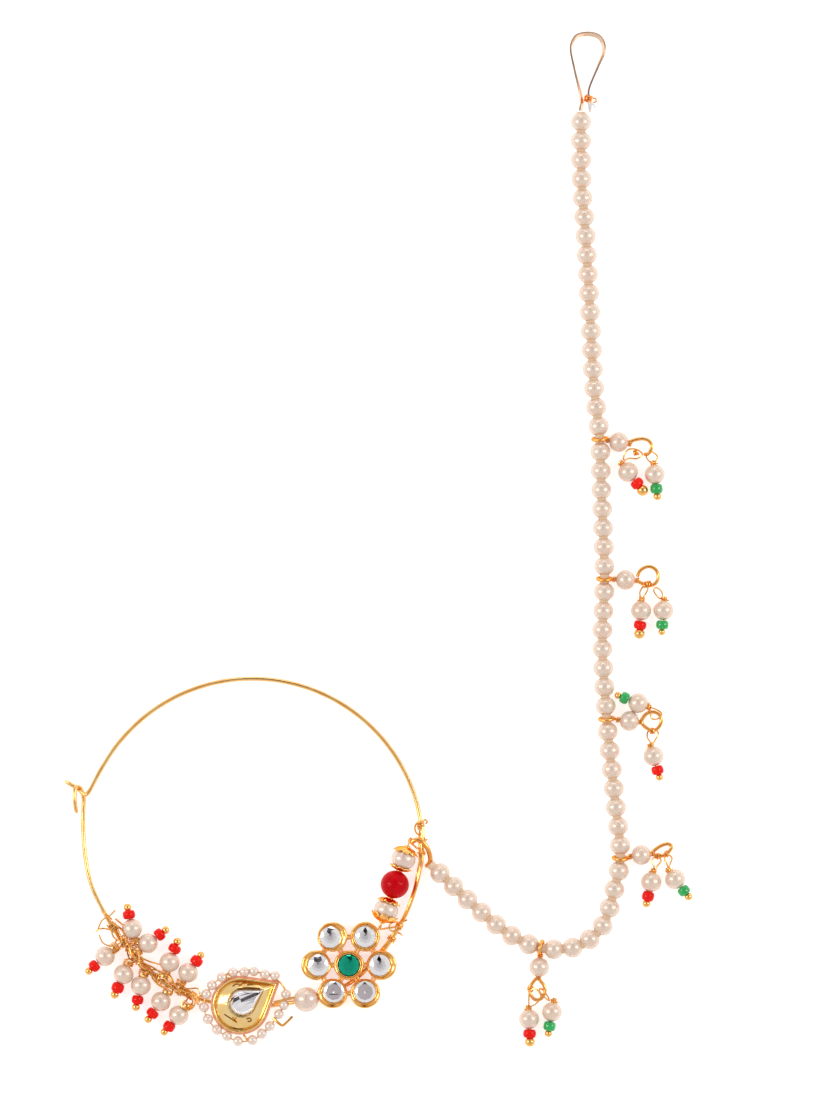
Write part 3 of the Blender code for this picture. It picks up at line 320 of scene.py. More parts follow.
# Pearl on the wire beside the flower
JOIN_PEARL_RADIUS = 2.25 * MM
JOIN_PEARL_RUN = -10.48 * MM  # from the flower along the hoop
JOIN_BORE_RADIUS = 0.62 * MM
JOIN_DIMPLE = 0.1 * MM

# Kundan drop
PEAR_RADIUS = 4.95 * MM
PEAR_LENGTH = 12.8 * MM
TIP_GROWTH = 1.35            # how far the tip moves when the outline grows by one
PEAR_HEADING = 31.0
PEAR_ANGLE = -94.4           # place round the hoop
PEAR_OFFSET = -0.3 * MM      # from the wire, outward
PEAR_WALL = 0.55 * MM
PEAR_FLOOR = 2.10 * MM
PEAR_RIM = 2.90 * MM
PEAR_DOME = 3.30 * MM
PEAR_SIDES = 96
KUNDAN_STONE_RISE = 1.00 * MM
KUNDAN_FACETS = 20
SEED_PEARL_RADIUS = 0.88 * MM
BORDER_HEIGHT = 2.12 * MM

# Bead stack
STACK_RED_RADIUS = 2.45 * MM
STACK_PEARL_RADIUS = 2.20 * MM
STACK_SQUASH = 0.90          # pearl length along the stack as a share of its width
STACK_WIRE_RADIUS = 0.17 * MM
STACK_RUN = 18.9 * MM        # from the flower along the hoop to the red bead
STACK_UPPER_RUN = 30.3 * MM  # to the upper turn of its wire
STACK_LOWER_RUN = 11.6 * MM  # to the lower turn
STACK_WIRE_REACH = 0.90 * MM
STACK_WIRE_LIFT = 0.75 * MM
STACK_BESIDE = (2.4 * MM, 4.2 * MM)   # back from the upper turn, where the wire lies along the hoop
STACK_BESIDE_SHIFT = 0.5 * MM
STACK_TURN = 0.8 * MM        # past the lower cap before the wire turns to the hoop
STACK_INSET = 3.75 * MM      # from the hoop wire in to the red bead
STACK_TILT = 71.3            # heading of the stack's axis
STACK_HEIGHT = 2.65 * MM
CAP_WALL = 0.22 * MM

# Drops
DROP_PEARL_RADIUS = 1.78 * MM
DROP_SEED_RADIUS = 1.12 * MM
DROP_SEED_LENGTH = 1.65 * MM
DROP_BALL_RADIUS = 0.72 * MM
DROP_WIRE_RADIUS = 0.15 * MM
DROP_NECK = 0.35 * MM
DROP_HEIGHT = 1.80 * MM

# Pearl string
STRING_BEAD_RADIUS = 1.75 * MM
STRING_PITCH = 3.43 * MM
STRING_RING_SPACE = 1.20 * MM
LINK_STEPS, BEAD_STEPS = 8, 12   # steps of the route for the links' and the beads' places
BEAD_REACH = 0.3 * MM         # along the string to read a bead's axis
STRING_RUNS = (17, 7, 7, 7, 7, 7)   # beads before, between and after the side links

# Side links
LINK_RING_RADIUS = 1.20 * MM
LINK_RING_WIRE = 0.40 * MM
LINK_LOOP_RADIUS = 1.70 * MM
LINK_LOOP_WIRE = 0.33 * MM
LINK_PIN_RADIUS = 0.25 * MM
LINK_COIL_PAST = 0.25 * MM    # from the pearl to the coil at each end
LINK_BORE, LINK_DIMPLE = 0.29 * MM, 0.20 * MM
LINK_PEARL_RADIUS = 1.80 * MM
LINK_PEARL_TO_LOOP = 4.05 * MM

# Hair hook
HOOK_LOOP_WIDTH = 6.00 * MM
HOOK_LENGTH = 13.85 * MM
HOOK_GAP = 0.30 * MM         # from the first pearl's place on the string
HOOK_STRIP_WIDTH = 0.90 * MM
HOOK_STRIP_THICKNESS = 0.36 * MM
HOOK_HEIGHT = 1.05 * MM

# Ring between the string and the hoop
CHAIN_RING_WIRE = 0.36 * MM
CHAIN_RING_REACH = 2.40 * MM
CHAIN_RING_PAST = 6.95 * MM  # from the red bead along the hoop

# Fine wire bindings
BINDING_WIRE = 0.16 * MM
STEM_UPPER_ANGLE = -151.0
STEM_LOWER_ANGLE = -115.2

# Round the hoop: angle, distance from its middle as a share of HOOP_RADIUS, height of the wire as a
# share of DROP_HEIGHT
TONGUE = [
    (159.8, 1.167, 0.33), (160.6, 1.080, 0.53), (161.6, 1.029, 0.75), (160.4, 1.012, 0.81),
    (157.0, 1.004, 0.67), (151.0, 1.000, 0.44),
]
ARC_FROM, ARC_TO, ARC_STEP = 141, 33, -12
LOWER_SIDE = [
    (21.0, 1.000, 0.31), (10.0, 0.998, 0.56), (2.0, 0.993, 0.72), (-4.0, 0.988, 0.72),
    (-11.3, 0.979, 0.69), (-18.5, 0.974, 0.67), (-24.5, 0.970, 0.64), (-30.0, 0.966, 0.64),
    (-36.0, 0.962, 0.64), (-44.0, 0.964, 0.64), (-52.0, 0.964, 0.64), (-58.5, 0.955, 0.69),
    (-61.5, 0.948, 0.89), (-65.5, 0.938, 1.20), (-70.0, 0.925, 1.27), (-74.5, 0.918, 1.17),
    (-81.0, 0.914, 0.69), (-89.0, 0.914, 0.44), (-99.0, 0.917, 0.39), (-107.0, 0.920, 0.39),
    (-113.0, 0.920, 0.72), (-120.0, 0.926, 0.99), (-128.0, 0.930, 0.99), (-136.0, 0.922, 0.99),
    (-145.8, 0.925, 0.99), (-156.0, 0.934, 0.86), (-167.7, 0.961, 0.56), (-178.3, 0.976, 0.31),
    (-188.1, 0.998, 0.23), (-194.0, 1.016, 0.23), (-197.0, 1.029, 0.23), (-198.9, 1.050, 0.34),
    (-200.0, 1.075, 0.72), (-199.3, 1.092, 1.08), (-196.6, 1.079, 1.22), (-194.0, 1.061, 1.17),
    (-192.0, 1.045, 1.08),
]

# Cluster drops: place round the hoop, pearl's distance from the hoop's middle as a share of
# HOOP_RADIUS, pearl's angle, heading of the drop
CLUSTER_DROPS = [
    ("inner_1", -142.3, 0.837, -146.8, 102.0), ("inner_2", -138.7, 0.814, -138.2, 37.0),
    ("inner_3", -125.1, 0.812, -126.4, 69.2), ("inner_4", -117.6, 0.806, -117.6, 54.0),
    ("outer_1", -145.6, 1.057, -144.2, 222.4), ("outer_2", -136.2, 1.042, -136.0, 246.4),
    ("outer_3", -131.0, 1.022, -129.4, 256.9), ("outer_4", -120.6, 1.030, -121.1, 234.6),
    ("outer_5", -112.7, 1.054, -114.0, 229.3),
]

# Route of the pearl string, from the hair hook to the hoop, x and y from the wire under its end ring,
# as shares of STRING_PITCH
STRING_ROUTE = [
    (8.369, 38.727), (8.399, 35.172), (8.583, 32.705), (8.793, 29.242), (9.029, 24.676),
    (9.344, 21.742), (9.431, 19.131), (9.606, 14.469), (9.488, 11.027), (9.650, 7.879),
    (9.816, 5.784), (10.157, 2.635), (10.437, -0.225), (10.114, -2.088), (9.589, -3.819),
    (8.907, -4.607), (7.958, -5.105), (6.326, -5.136), (4.778, -4.502), (3.108, -3.220),
    (0.851, -1.091), (0.449, -0.719),
]

# Side links: heading, distance from the ring to the pearl as a share of LINK_PEARL_RADIUS
SIDE_LINKS = [
    (-9.3, 1.94), (-2.5, 2.11), (-5.1, 2.28), (8.5, 2.14), (-94.9, 1.94),
]

# String drops: link, colour, x and y from the middle of the link's loop to the pearl as shares of
# LINK_LOOP_RADIUS, heading of the drop
STRING_DROPS = [
    (1, "red", -1.38, -2.79, -51.5), (1, "green", 1.44, -3.03, -83.0), (2, "red", -0.74, -3.15, -94.0),
    (2, "green", 1.62, -3.12, -94.3), (3, "green", -1.44, 2.09, 159.0), (3, "red", 0.18, -3.53, -73.9),
    (4, "red", -1.32, -3.21, -102.3), (4, "green", 1.21, -2.91, -52.6), (5, "red", -0.88, -3.12, -88.0),
    (5, "green", 1.53, -2.35, -99.0),
]

# Hair hook, from the string round the loop to its tucked end: across as a share of HOOK_LOOP_WIDTH,
# along as a share of HOOK_LENGTH
HOOK_ROUTE = [
    (0.000, 0.000), (0.025, 0.112), (-0.055, 0.296), (-0.187, 0.534), (-0.302, 0.783), (-0.250, 0.899),
    (-0.100, 0.975), (0.200, 1.000), (0.500, 0.971), (0.658, 0.888), (0.695, 0.765), (0.558, 0.617),
    (0.333, 0.390), (0.237, 0.267), (0.233, 0.181),
]

# Open ring that joins the string to the hoop: x and y from the wire that it rides on, and height, as shares
# of CHAIN_RING_REACH
CHAIN_RING_ROUTE = [
    (-0.779, 0.579, 0.896), (-0.383, 0.788, 1.021), (0.096, 0.621, 1.021), (0.513, 0.017, 0.875),
    (0.667, -0.796, 0.583), (0.346, -1.275, 0.300),
]


def polar(angle, radius):
    """Return a flat vector at an angle in degrees."""
    turn = math.radians(angle)
    return Vector((math.cos(turn), math.sin(turn), 0.0)) * radius


def hoop_middle():
    """Middle of the hoop, seen from the flower at the origin."""
    return -polar(FLOWER_ANGLE, HOOP_RADIUS * hoop_share(FLOWER_ANGLE) - FLOWER_INSET)


def hoop_share(angle):
    """Distance from the hoop's middle to the wire at an angle, as a share of HOOP_RADIUS."""
    for first, second in zip(LOWER_SIDE, LOWER_SIDE[1:]):
        if first[0] >= angle >= second[0]:
            part = (first[0] - angle) / (first[0] - second[0])
            return first[1] + (second[1] - first[1]) * part
    return 1.0


def along_hoop(run):
    """Angle at a distance along the hoop from the flower, from its mean lower radius."""
    return FLOWER_ANGLE + math.degrees(run / (HOOP_RADIUS * hoop_share(FLOWER_ANGLE)))


def hoop_stations():
    """Rows of angle, share and height from the free tip to the end of the lower hook."""
    arc = [(angle, 1.0, REST_HEIGHT / DROP_HEIGHT) for angle in range(ARC_FROM, ARC_TO - 1, ARC_STEP)]
    return TONGUE + arc + LOWER_SIDE


def hoop_place(angle, share, height):
    """Point at an angle and a share of the radius round the hoop, at a height in metres."""
    return hoop_middle() + polar(angle, HOOP_RADIUS * share) + UP * height


def smooth(points, steps, closed=False):
    """Points of a Catmull-Rom curve through the given ones."""
    count = len(points)
    spans = count if closed else count - 1
    result = []
    for span in range(spans):
        if closed:
            before, start, end, after = (points[(span + shift) % count] for shift in (-1, 0, 1, 2))
        else:
            start, end = points[span], points[span + 1]
            before = points[span - 1] if span else start * 2 - end
            after = points[span + 2] if span + 2 < count else end * 2 - start
        for step in range(steps):
            t = step / steps
            result.append(0.5 * (start * 2 + (end - before) * t
                                 + (before * 2 - start * 5 + end * 4 - after) * t ** 2
                                 + (start * 3 - before - end * 3 + after) * t ** 3))
    if not closed:
        result.append(points[-1].copy())
    return result


def flat(x, y, z=0.0):
    """Vector from millimetres across and a height in metres."""
    return Vector((x * MM, y * MM, z))


def across_of(way):
    """Flat direction square to a way, to its left."""
    return Vector((-way.y, way.x, 0.0)).normalized()


def bent(row, steps):
    """Smooth line through places in millimetres."""
    return smooth([Vector(knot) * MM for knot in row], steps)


def hoop_line(steps):
    """Smooth middle line of the hoop wire."""
    places = [hoop_place(angle, share, height * DROP_HEIGHT) for angle, share, height in hoop_stations()]
    return smooth(places, steps)


def hoop_points():
    """Middle line of the hoop wire, with a point wherever it has bent or run far enough."""
    line = hoop_line(HOOP_STEPS)
    kept = [line[0]]
    way = line[1] - line[0]
    for place, after in zip(line[1:], line[2:]):
        step = after - place
        if math.degrees(step.angle(way)) > HOOP_BEND or (place - kept[-1]).length > HOOP_REACH:
            kept.append(place)
            way = step
    kept.append(line[-1])
    return kept


def hoop_at(angle):
    """Point on the lower side of the hoop wire and its direction there."""
    middle = hoop_middle()
    line = hoop_points()
    turn = polar(angle, 1.0)
    for start, end in zip(line, line[1:]):
        first, second = start - middle, end - middle
        before, after = turn.cross(first).z, turn.cross(second).z
        if first.dot(turn) > 0.0 and before > 0.0 >= after:
            return start.lerp(end, before / (before - after)), (end - start).normalized()
    return line[-1], (line[-1] - line[-2]).normalized()


def petal_places():
    """Middles of the outer collets."""
    return [polar(360.0 * index / PETAL_COUNT, PETAL_RING) for index in range(PETAL_COUNT)]


def pear_middle():
    """Middle of the pear's round end, on the table."""
    angle = PEAR_ANGLE
    return hoop_middle() + polar(angle, HOOP_RADIUS * hoop_share(angle) + PEAR_OFFSET)


def pear_outline(offset, count):
    """Points round a pear that is grown by an offset, from its tip and back to it."""
    radius = PEAR_RADIUS + offset
    tip = PEAR_LENGTH - PEAR_RADIUS + offset * TIP_GROWTH
    tangent = math.acos(radius / tip)
    straight = math.sqrt(tip ** 2 - radius ** 2)
    arc = radius * 2.0 * (math.pi - tangent)
    total = 2.0 * straight + arc
    points = []
    for index in range(count):
        run = total * index / count
        if run < straight:
            touch = Vector((math.cos(tangent), math.sin(tangent), 0.0)) * radius
            place = Vector((tip, 0.0, 0.0)).lerp(touch, run / straight)
        elif run < straight + arc:
            turn = tangent + (run - straight) / radius
            place = Vector((math.cos(turn), math.sin(turn), 0.0)) * radius
        else:
            touch = Vector((math.cos(tangent), -math.sin(tangent), 0.0)) * radius
            place = touch.lerp(Vector((tip, 0.0, 0.0)), (run - straight - arc) / straight)
        points.append(place)
    return points


def walk(line, distances):
    """Places at distances along a line of points."""
    places = []
    run = 0.0
    index = 0
    for distance in distances:
        while index < len(line) - 2 and run + (line[index + 1] - line[index]).length < distance:
            run += (line[index + 1] - line[index]).length
            index += 1
        span = (line[index + 1] - line[index]).length
        places.append(line[index].lerp(line[index + 1], (distance - run) / span))
    return places


def string_place(x, y, height):
    """Point of the string's route at a height, seen from the wire under its end ring."""
    seat, _ = hoop_at(along_hoop(STACK_RUN + CHAIN_RING_PAST))
    return Vector((seat.x + x * STRING_PITCH, seat.y + y * STRING_PITCH, height))


def string_line(steps):
    """Smooth middle line of the pearl string."""
    return smooth([string_place(x, y, STRING_BEAD_RADIUS) for x, y in STRING_ROUTE], steps)


def string_beads():
    """Distances of the beads and of the side links along the string, from the first bead."""
    beads, joints = [], []
    middle = 0.0
    for run, count in enumerate(STRING_RUNS):
        if run:
            joints.append(middle - STRING_PITCH / 2.0 + STRING_RING_SPACE / 2.0)
            middle += STRING_RING_SPACE
        for _ in range(count):
            beads.append(middle)
            middle += STRING_PITCH
    return beads, joints


def frames(points, closed):
    """Two directions across a line at each point, carried along without twist."""
    count = len(points)
    ways = []
    for index in range(count):
        if closed:
            way = points[(index + 1) % count] - points[index - 1]
        else:
            way = points[min(index + 1, count - 1)] - points[max(index - 1, 0)]
        ways.append(way.normalized())
    side = ways[0].orthogonal().normalized()
    sides = [side]
    for before, after in zip(ways, ways[1:]):
        side = before.rotation_difference(after) @ side
        side = (side - after * side.dot(after)).normalized()
        sides.append(side)
    if closed:
        back = ways[-1].rotation_difference(ways[0]) @ sides[-1]
        error = math.atan2(back.cross(sides[0]).dot(ways[0]), back.dot(sides[0]))
        for index in range(count):
            sides[index] = Matrix.Rotation(error * index / count, 3, ways[index]) @ sides[index]
    return [(side, way.cross(side)) for side, way in zip(sides, ways)]


def turns_of(count, shift=0.0):
    """Evenly spaced angles round a circle."""
    return [2.0 * math.pi * (index + shift) / count for index in range(count)]


def skin(work, rings, sides, closed=False, look=0):
    """Faces between rings of corners; a ring of one corner is a pole."""
    pairs = list(zip(rings, rings[1:]))
    if closed:
        pairs.append((rings[-1], rings[0]))
    for first, second in pairs:
        for number in range(sides):
            after = (number + 1) % sides
            corners = []
            for ring, index in ((first, number), (second, number), (second, after), (first, after)):
                vert = ring[index % len(ring)]
                if vert not in corners:
                    corners.append(vert)
            if len(corners) > 2:
                work.faces.new(corners).material_index = look


def caps(work, rings, look=0):
    """Flat faces that close a row of rings at both ends."""
    for ring in (list(reversed(rings[0])), rings[-1]):
        work.faces.new(ring).material_index = look


def sweep(work, points, radius, sides=10, closed=False, radii=None):
    """Round tube along points, with its own radius at each point if given."""
    rings = []
    for index, (place, (across, up)) in enumerate(zip(points, frames(points, closed))):
        size = radii[index] if radii else radius
        rings.append([work.verts.new(place + (across * math.cos(turn) + up * math.sin(turn)) * size)
                      for turn in turns_of(sides)])
    skin(work, rings, sides, closed)
    if not closed:
        caps(work, rings)


def placed(place, axis):
    """Matrix that puts Z along an axis at a place."""
    return Matrix.Translation(place) @ axis.to_track_quat("Z", "Y").to_matrix().to_4x4()


def lathe(work, profile, where, sides=32, tint=0.0):
    """Surface turned about Z from radius and height pairs, which run from top to bottom."""
    ends = work.verts.layers.float.get(BORE_SHADE_LAYER) or work.verts.layers.float.new(BORE_SHADE_LAYER)
    reach = max(abs(height) for _, height in profile)
    rings = []
    for radius, height in profile:
        ring = []
        for turn in turns_of(sides)[:sides if radius > 1e-7 else 1]:
            place = Vector((radius * math.cos(turn), radius * math.sin(turn), height))
            ring.append(work.verts.new(where @ place))
            # tint sets how much painted warm shade lies towards the bore
            ring[-1][ends] = tint * (abs(height) / reach) ** BORE_SHADE_POWER
        rings.append(ring)
    skin(work, rings, sides)


def ball_profile(radius, squash=1.0, bore=0.0, dimple=0.0, rings=18):
    """Profile of a bead, open at its bore or dimpled at its ends."""
    start = math.asin(min(bore / radius, 0.9)) if bore else 0.0
    rows = []
    for index in range(rings + 1):
        turn = start + (math.pi - 2.0 * start) * index / rings
        rows.append((radius * math.sin(turn), radius * math.cos(turn) * squash))
    if bore:
        depth = dimple or bore
        rows = [(bore * 0.8, rows[0][1] - depth)] + rows + [(bore * 0.8, rows[-1][1] + depth)]
    else:
        rows[0] = (0.0, rows[0][1])
        rows[-1] = (0.0, rows[-1][1])
    return rows


def seed_profile(radius, half, bore):
    """Profile of a short rounded glass seed with an open bore."""
    turns = [math.pi * index / 16 for index in range(17)]
    return [(bore + (radius - bore) * math.sin(turn) ** 0.38, half * math.cos(turn)) for turn in turns]


def piece(work, name, looks, stands_for=(), sharp=42.0):
    """Finish a mesh as a piece that rides on the jewel."""
    bmesh.ops.recalc_face_normals(work, faces=work.faces)
    made = place_in_scene(name, mesh_of(work, name), (0.0, 0.0, 0.0))
    for look in looks:
        made.data.materials.append(look)
    if sharp:
        made.data.shade_smooth()
        made.data.set_sharp_from_angle(angle=math.radians(sharp))
    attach(made, "root")
    if stands_for:
        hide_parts(*stands_for)


def add_node(tree, kind, **values):
    """New node with some of its sockets set by name, with underscores for spaces."""
    node = tree.nodes.new("ShaderNode" + kind)
    for key, value in values.items():
        node.inputs[key.replace("_", " ")].default_value = value
    return node


class Nodes:
    """Small helper that adds nodes to one material."""

    def __init__(self, name):
        """Start a material with its shader and place nodes."""
        self.made = bpy.data.materials.new(name)
        self.made.use_nodes = True
        self.tree = self.made.node_tree
        self.shader = self.tree.nodes["Principled BSDF"]
        self.place = add_node(self.tree, "TexCoord")

    def set(self, **values):
        """Set sockets of the shader by name, with underscores for spaces."""
        for key, value in values.items():
            self.shader.inputs[key.replace("_", " ")].default_value = value

    def link(self, source, target):
        """Link a source to a socket of the shader."""
        self.tree.links.new(source, self.shader.inputs[target])

    def noise(self, scale, detail=3.0, roughness=0.5):
        """Factor of a noise texture in the jewel's own space."""
        node = add_node(self.tree, "TexNoise", Scale=scale, Detail=detail, Roughness=roughness)
        self.tree.links.new(self.place.outputs["Object"], node.inputs["Vector"])
        return node.outputs["Fac"]

    def ramp(self, source, stops):
        """Colour ramp on a source's factor, from pairs of position and colour."""
        node = add_node(self.tree, "ValToRGB")
        for number, (position, colour) in enumerate(stops):
            if number < 2:
                stop = node.color_ramp.elements[number]
                stop.position = position
            else:
                stop = node.color_ramp.elements.new(position)
            stop.color = (*colour, 1.0)
        self.tree.links.new(source, node.inputs["Fac"])
        return node.outputs["Color"]

    def rough(self, source, low, high):
        """Map a factor to roughness."""
        node = add_node(self.tree, "MapRange", From_Min=0.3, From_Max=0.7, To_Min=low, To_Max=high)
        self.tree.links.new(source, node.inputs["Value"])
        self.link(node.outputs["Result"], "Roughness")

    def bump(self, source, height):
        """Bump from a factor, its height in metres."""
        node = add_node(self.tree, "Bump", Distance=height, Strength=1.0)
        self.tree.links.new(source, node.inputs["Height"])
        self.link(node.outputs["Normal"], "Normal")


def gold_look(name, pale, deep, rough_low, rough_high, dent):
    """Plated gold with soft hand-worked dents and slight changes of tone."""
    look = Nodes(name)
    look.set(Metallic=1.0, Specular_Tint=GOLD_EDGE)
    tone = look.noise(420.0, 4.0)
    look.link(look.ramp(tone, [(0.30, deep), (0.70, pale)]), "Base Color")
    look.rough(look.noise(1500.0, 3.0), rough_low, rough_high)
    look.bump(look.noise(900.0, 2.0), dent)
    return look.made


def pearl_look(name, light, blush, cloud):
    """Coated pearl: cream with faint blush, and peach painted as warm shade at its bore."""
    look = Nodes(name)
    tone = look.noise(260.0, 1.0, 0.5)
    body = look.ramp(tone, [(0.30, cloud), (0.62, blush), (0.48, light)])
    # Painted warm shade towards the bore, read from the vertex layer
    ends = add_node(look.tree, "Attribute")
    ends.attribute_name = BORE_SHADE_LAYER
    mix = add_node(look.tree, "Mix")
    mix.data_type = "RGBA"
    look.tree.links.new(ends.outputs["Fac"], mix.inputs["Factor"])
    look.tree.links.new(body, mix.inputs["A"])
    mix.inputs["B"].default_value = PEARL_BORE_SHADE
    look.link(mix.outputs["Result"], "Base Color")
    look.rough(look.noise(2600.0, 2.0), 0.24, 0.30)
    look.set(Metallic=0.34, Specular_Tint=PEARL_EDGE, Coat_Weight=0.24, Coat_Roughness=0.13, Coat_IOR=1.7,
             Subsurface_Weight=0.12, Subsurface_Scale=0.6 * MM, IOR=1.35)
    look.bump(look.noise(1500.0, 2.0), 0.001 * MM)
    return look.made


def glass_look(name, light, deep, rough, transmission, coat, gloss):
    """Coloured bead glass with clouds of tone."""
    look = Nodes(name)
    cloud = look.noise(300.0, 2.0)
    look.link(look.ramp(cloud, [(0.30, deep), (0.70, light)]), "Base Color")
    look.set(Roughness=rough, Transmission_Weight=transmission, IOR=1.5, Coat_Weight=coat,
             Coat_Roughness=0.05, Specular_IOR_Level=gloss)
    look.bump(look.noise(700.0, 2.0), 0.008 * MM)
    return look.made


def foil_stone_look(name, light, shade, coat):
    """Clear cut stone over silver foil."""
    look = Nodes(name)
    cloud = look.noise(260.0, 2.0)
    look.link(look.ramp(cloud, [(0.30, shade), (0.62, light)]), "Base Color")
    look.set(Metallic=0.92, Roughness=0.07, Coat_Weight=coat, Coat_Roughness=0.02, Coat_IOR=1.6)
    return look.made


def thread_look(name, light, deep):
    """Twisted silk thread."""
    look = Nodes(name)
    fibre = look.noise(5200.0, 4.0, 0.7)
    look.link(look.ramp(fibre, [(0.32, deep), (0.68, light)]), "Base Color")
    look.set(Roughness=0.62, Sheen_Weight=0.4, Sheen_Roughness=0.4)
    look.bump(fibre, 0.05 * MM)
    return look.made


def floor_look():
    """Matte white paper."""
    look = Nodes("floor_paper")
    grain = look.noise(900.0, 3.0)
    look.link(look.ramp(grain, [(0.30, FLOOR_SHADE), (0.70, FLOOR_LIGHT)]), "Base Color")
    look.set(Roughness=0.9, Specular_IOR_Level=0.1, Emission_Color=(1.0, 1.0, 1.0, 1.0),
             Emission_Strength=FLOOR_GLOW)
    return look.made


def stage():
    """Paper floor, camera and studio lights."""
    work = bmesh.new()
    bmesh.ops.create_grid(work, x_segments=8, y_segments=8, size=FLOOR_HALF)
    data = mesh_of(work, "floor")
    data.materials.append(floor_look())
    place_in_scene("floor", data, (*VIEW_MIDDLE, -FLOOR_DROP))
    camera()
    for row in LIGHTS:
        softbox(*row)
    sky()


def mesh_of(work, name):
    """Mesh from what was built, which is then let go."""
    data = bpy.data.meshes.new(name)
    work.to_mesh(data)
    work.free()
    return data


def place_in_scene(name, data, place):
    """New object at a place."""
    made = bpy.data.objects.new(name, data)
    made.location = place
    bpy.context.scene.collection.objects.link(made)
    return made


def camera():
    """Long lens straight above the jewel."""
    data = bpy.data.cameras.new("camera")
    data.sensor_fit = "VERTICAL"
    data.sensor_height = SENSOR
    data.lens = SENSOR * (CAMERA_DISTANCE - VIEW_PLANE) / VIEW_HEIGHT
    data.clip_start = 0.01
    data.clip_end = 10.0
    bpy.context.scene.camera = place_in_scene("camera", data, (*VIEW_MIDDLE, CAMERA_DISTANCE))


def softbox(name, place, size, power, tint):
    """Area light that faces the middle of the picture."""
    data = bpy.data.lights.new(name, "AREA")
    data.shape = "RECTANGLE"
    data.size, data.size_y = size
    data.energy = power
    data.color = tint
    made = place_in_scene(name, data, place)
    way = Vector((*VIEW_MIDDLE, 0.0)) - Vector(place)
    made.rotation_euler = way.to_track_quat("-Z", "Y").to_euler()


def sky():
    """Studio room: bright walls, a grey patch overhead where the camera stands, and a dark card."""
    world = bpy.data.worlds.new("studio")
    bpy.context.scene.world = world
    world.use_nodes = True
    bpy.context.scene.view_settings.view_transform = "Standard"
    tree = world.node_tree
    back = tree.nodes["Background"]
    back.inputs["Strength"].default_value = SKY_POWER
    place = add_node(tree, "TexCoord").outputs["Generated"]
    split_up = add_node(tree, "SeparateXYZ")
    ramp = add_node(tree, "ValToRGB")
    tree.links.new(place, split_up.inputs["Vector"])
    tree.links.new(split_up.outputs["Z"], ramp.inputs["Fac"])
    stops = ramp.color_ramp.elements
    stops[0].color = (*SKY_LOW, 1.0)
    stops[1].color = (*SKY_TOP, 1.0)
    for position, colour in SKY_BANDS:
        stops.new(position).color = (*colour, 1.0)
    way = place
    for operation, row in (("SUBTRACT", FLAG_MIDDLE), ("DIVIDE", FLAG_SPREAD), ("LENGTH", None)):
        node = add_node(tree, "VectorMath")
        node.operation = operation
        if row:
            node.inputs[1].default_value = row
        tree.links.new(way, node.inputs[0])
        way = node.outputs["Vector" if row else "Value"]
    edge = add_node(tree, "MapRange", From_Min=FLAG_EDGE)
    mix = add_node(tree, "Mix")
    mix.data_type = "RGBA"
    mix.inputs["A"].default_value = (*FLAG_SHADE, 1.0)
    tree.links.new(way, edge.inputs["Value"])
    tree.links.new(edge.outputs["Result"], mix.inputs["Factor"])
    tree.links.new(ramp.outputs["Color"], mix.inputs["B"])
    tree.links.new(mix.outputs["Result"], back.inputs["Color"])


def wound(work, place, way, inner, wire, turns, pitch, per_turn=14, start=0.0):
    """Fine wire wound tightly round something, added to a mesh."""
    way = way.normalized()
    across = way.orthogonal().normalized()
    up = way.cross(across)
    points = []
    for index in range(int(turns * per_turn) + 1):
        turn = start + 2.0 * math.pi * index / per_turn
        along = pitch * (index / per_turn - turns / 2.0)
        reach = (across * math.cos(turn) + up * math.sin(turn)) * (inner + wire)
        points.append(place + way * along + reach)
    sweep(work, points, wire, 6)


def hoop(looks):
    """Hoop wire with its free tip and lower hook."""
    work = bmesh.new()
    line = hoop_line(HOOP_FINE_STEPS)
    radii = [WIRE_RADIUS] * len(line)
    for index, share in enumerate((0.55, 0.85, 0.97)):
        radii[index] = WIRE_RADIUS * share
        radii[-1 - index] = WIRE_RADIUS * share
    sweep(work, line, WIRE_RADIUS, 16, radii=radii)
    piece(work, "hoop_wire_fine", [looks["wire"]], ["hoop_wire"])
    work = bmesh.new()
    for phase in (0.0, math.pi):
        sweep(work, twist(phase), TWIST_WIRE, 8)
    piece(work, "hoop_twist", [looks["link_wire"]])


def twist(phase):
    """Strand laid round the hoop wire beside the bead stack, which makes it look ribbed."""
    line = []
    run = 0.0
    before = None
    for index in range(TWIST_STEPS + 1):
        place, way = hoop_at(TWIST_FROM + (TWIST_TO - TWIST_FROM) * index / TWIST_STEPS)
        run += (place - before).length if before else 0.0
        before = place
        out = across_of(way)
        up = way.cross(out)
        turn = phase + 2.0 * math.pi * run / TWIST_PITCH
        reach = WIRE_RADIUS * 0.72
        line.append(place + (out * math.cos(turn) + up * math.sin(turn)) * reach)
    return line


def bindings(looks):
    """Fine wire wound on the hoop along the cluster, and a loop of it above the stack."""
    for name, angle, turns in (("stem_binding_upper", STEM_UPPER_ANGLE, 4.0),
                               ("stem_binding_lower", STEM_LOWER_ANGLE, 3.0)):
        work = bmesh.new()
        place, way = hoop_at(angle)
        wound(work, place, way, WIRE_RADIUS, BINDING_WIRE, turns, BINDING_WIRE * 2.1)
        piece(work, name + "_fine", [looks["fine_wire"]], [name])
    work = bmesh.new()
    for row in STACK_LOOPS:
        sweep(work, bent(row, 6), BINDING_WIRE, 6)
    for run, turns in STACK_TIES:
        place, way = hoop_at(along_hoop(run))
        wound(work, place, way, WIRE_RADIUS + TWIST_WIRE * 0.5, BINDING_WIRE, turns, BINDING_WIRE * 2.3)
    piece(work, "hoop_binding_fine", [looks["fine_wire"]], ["hoop_binding"])


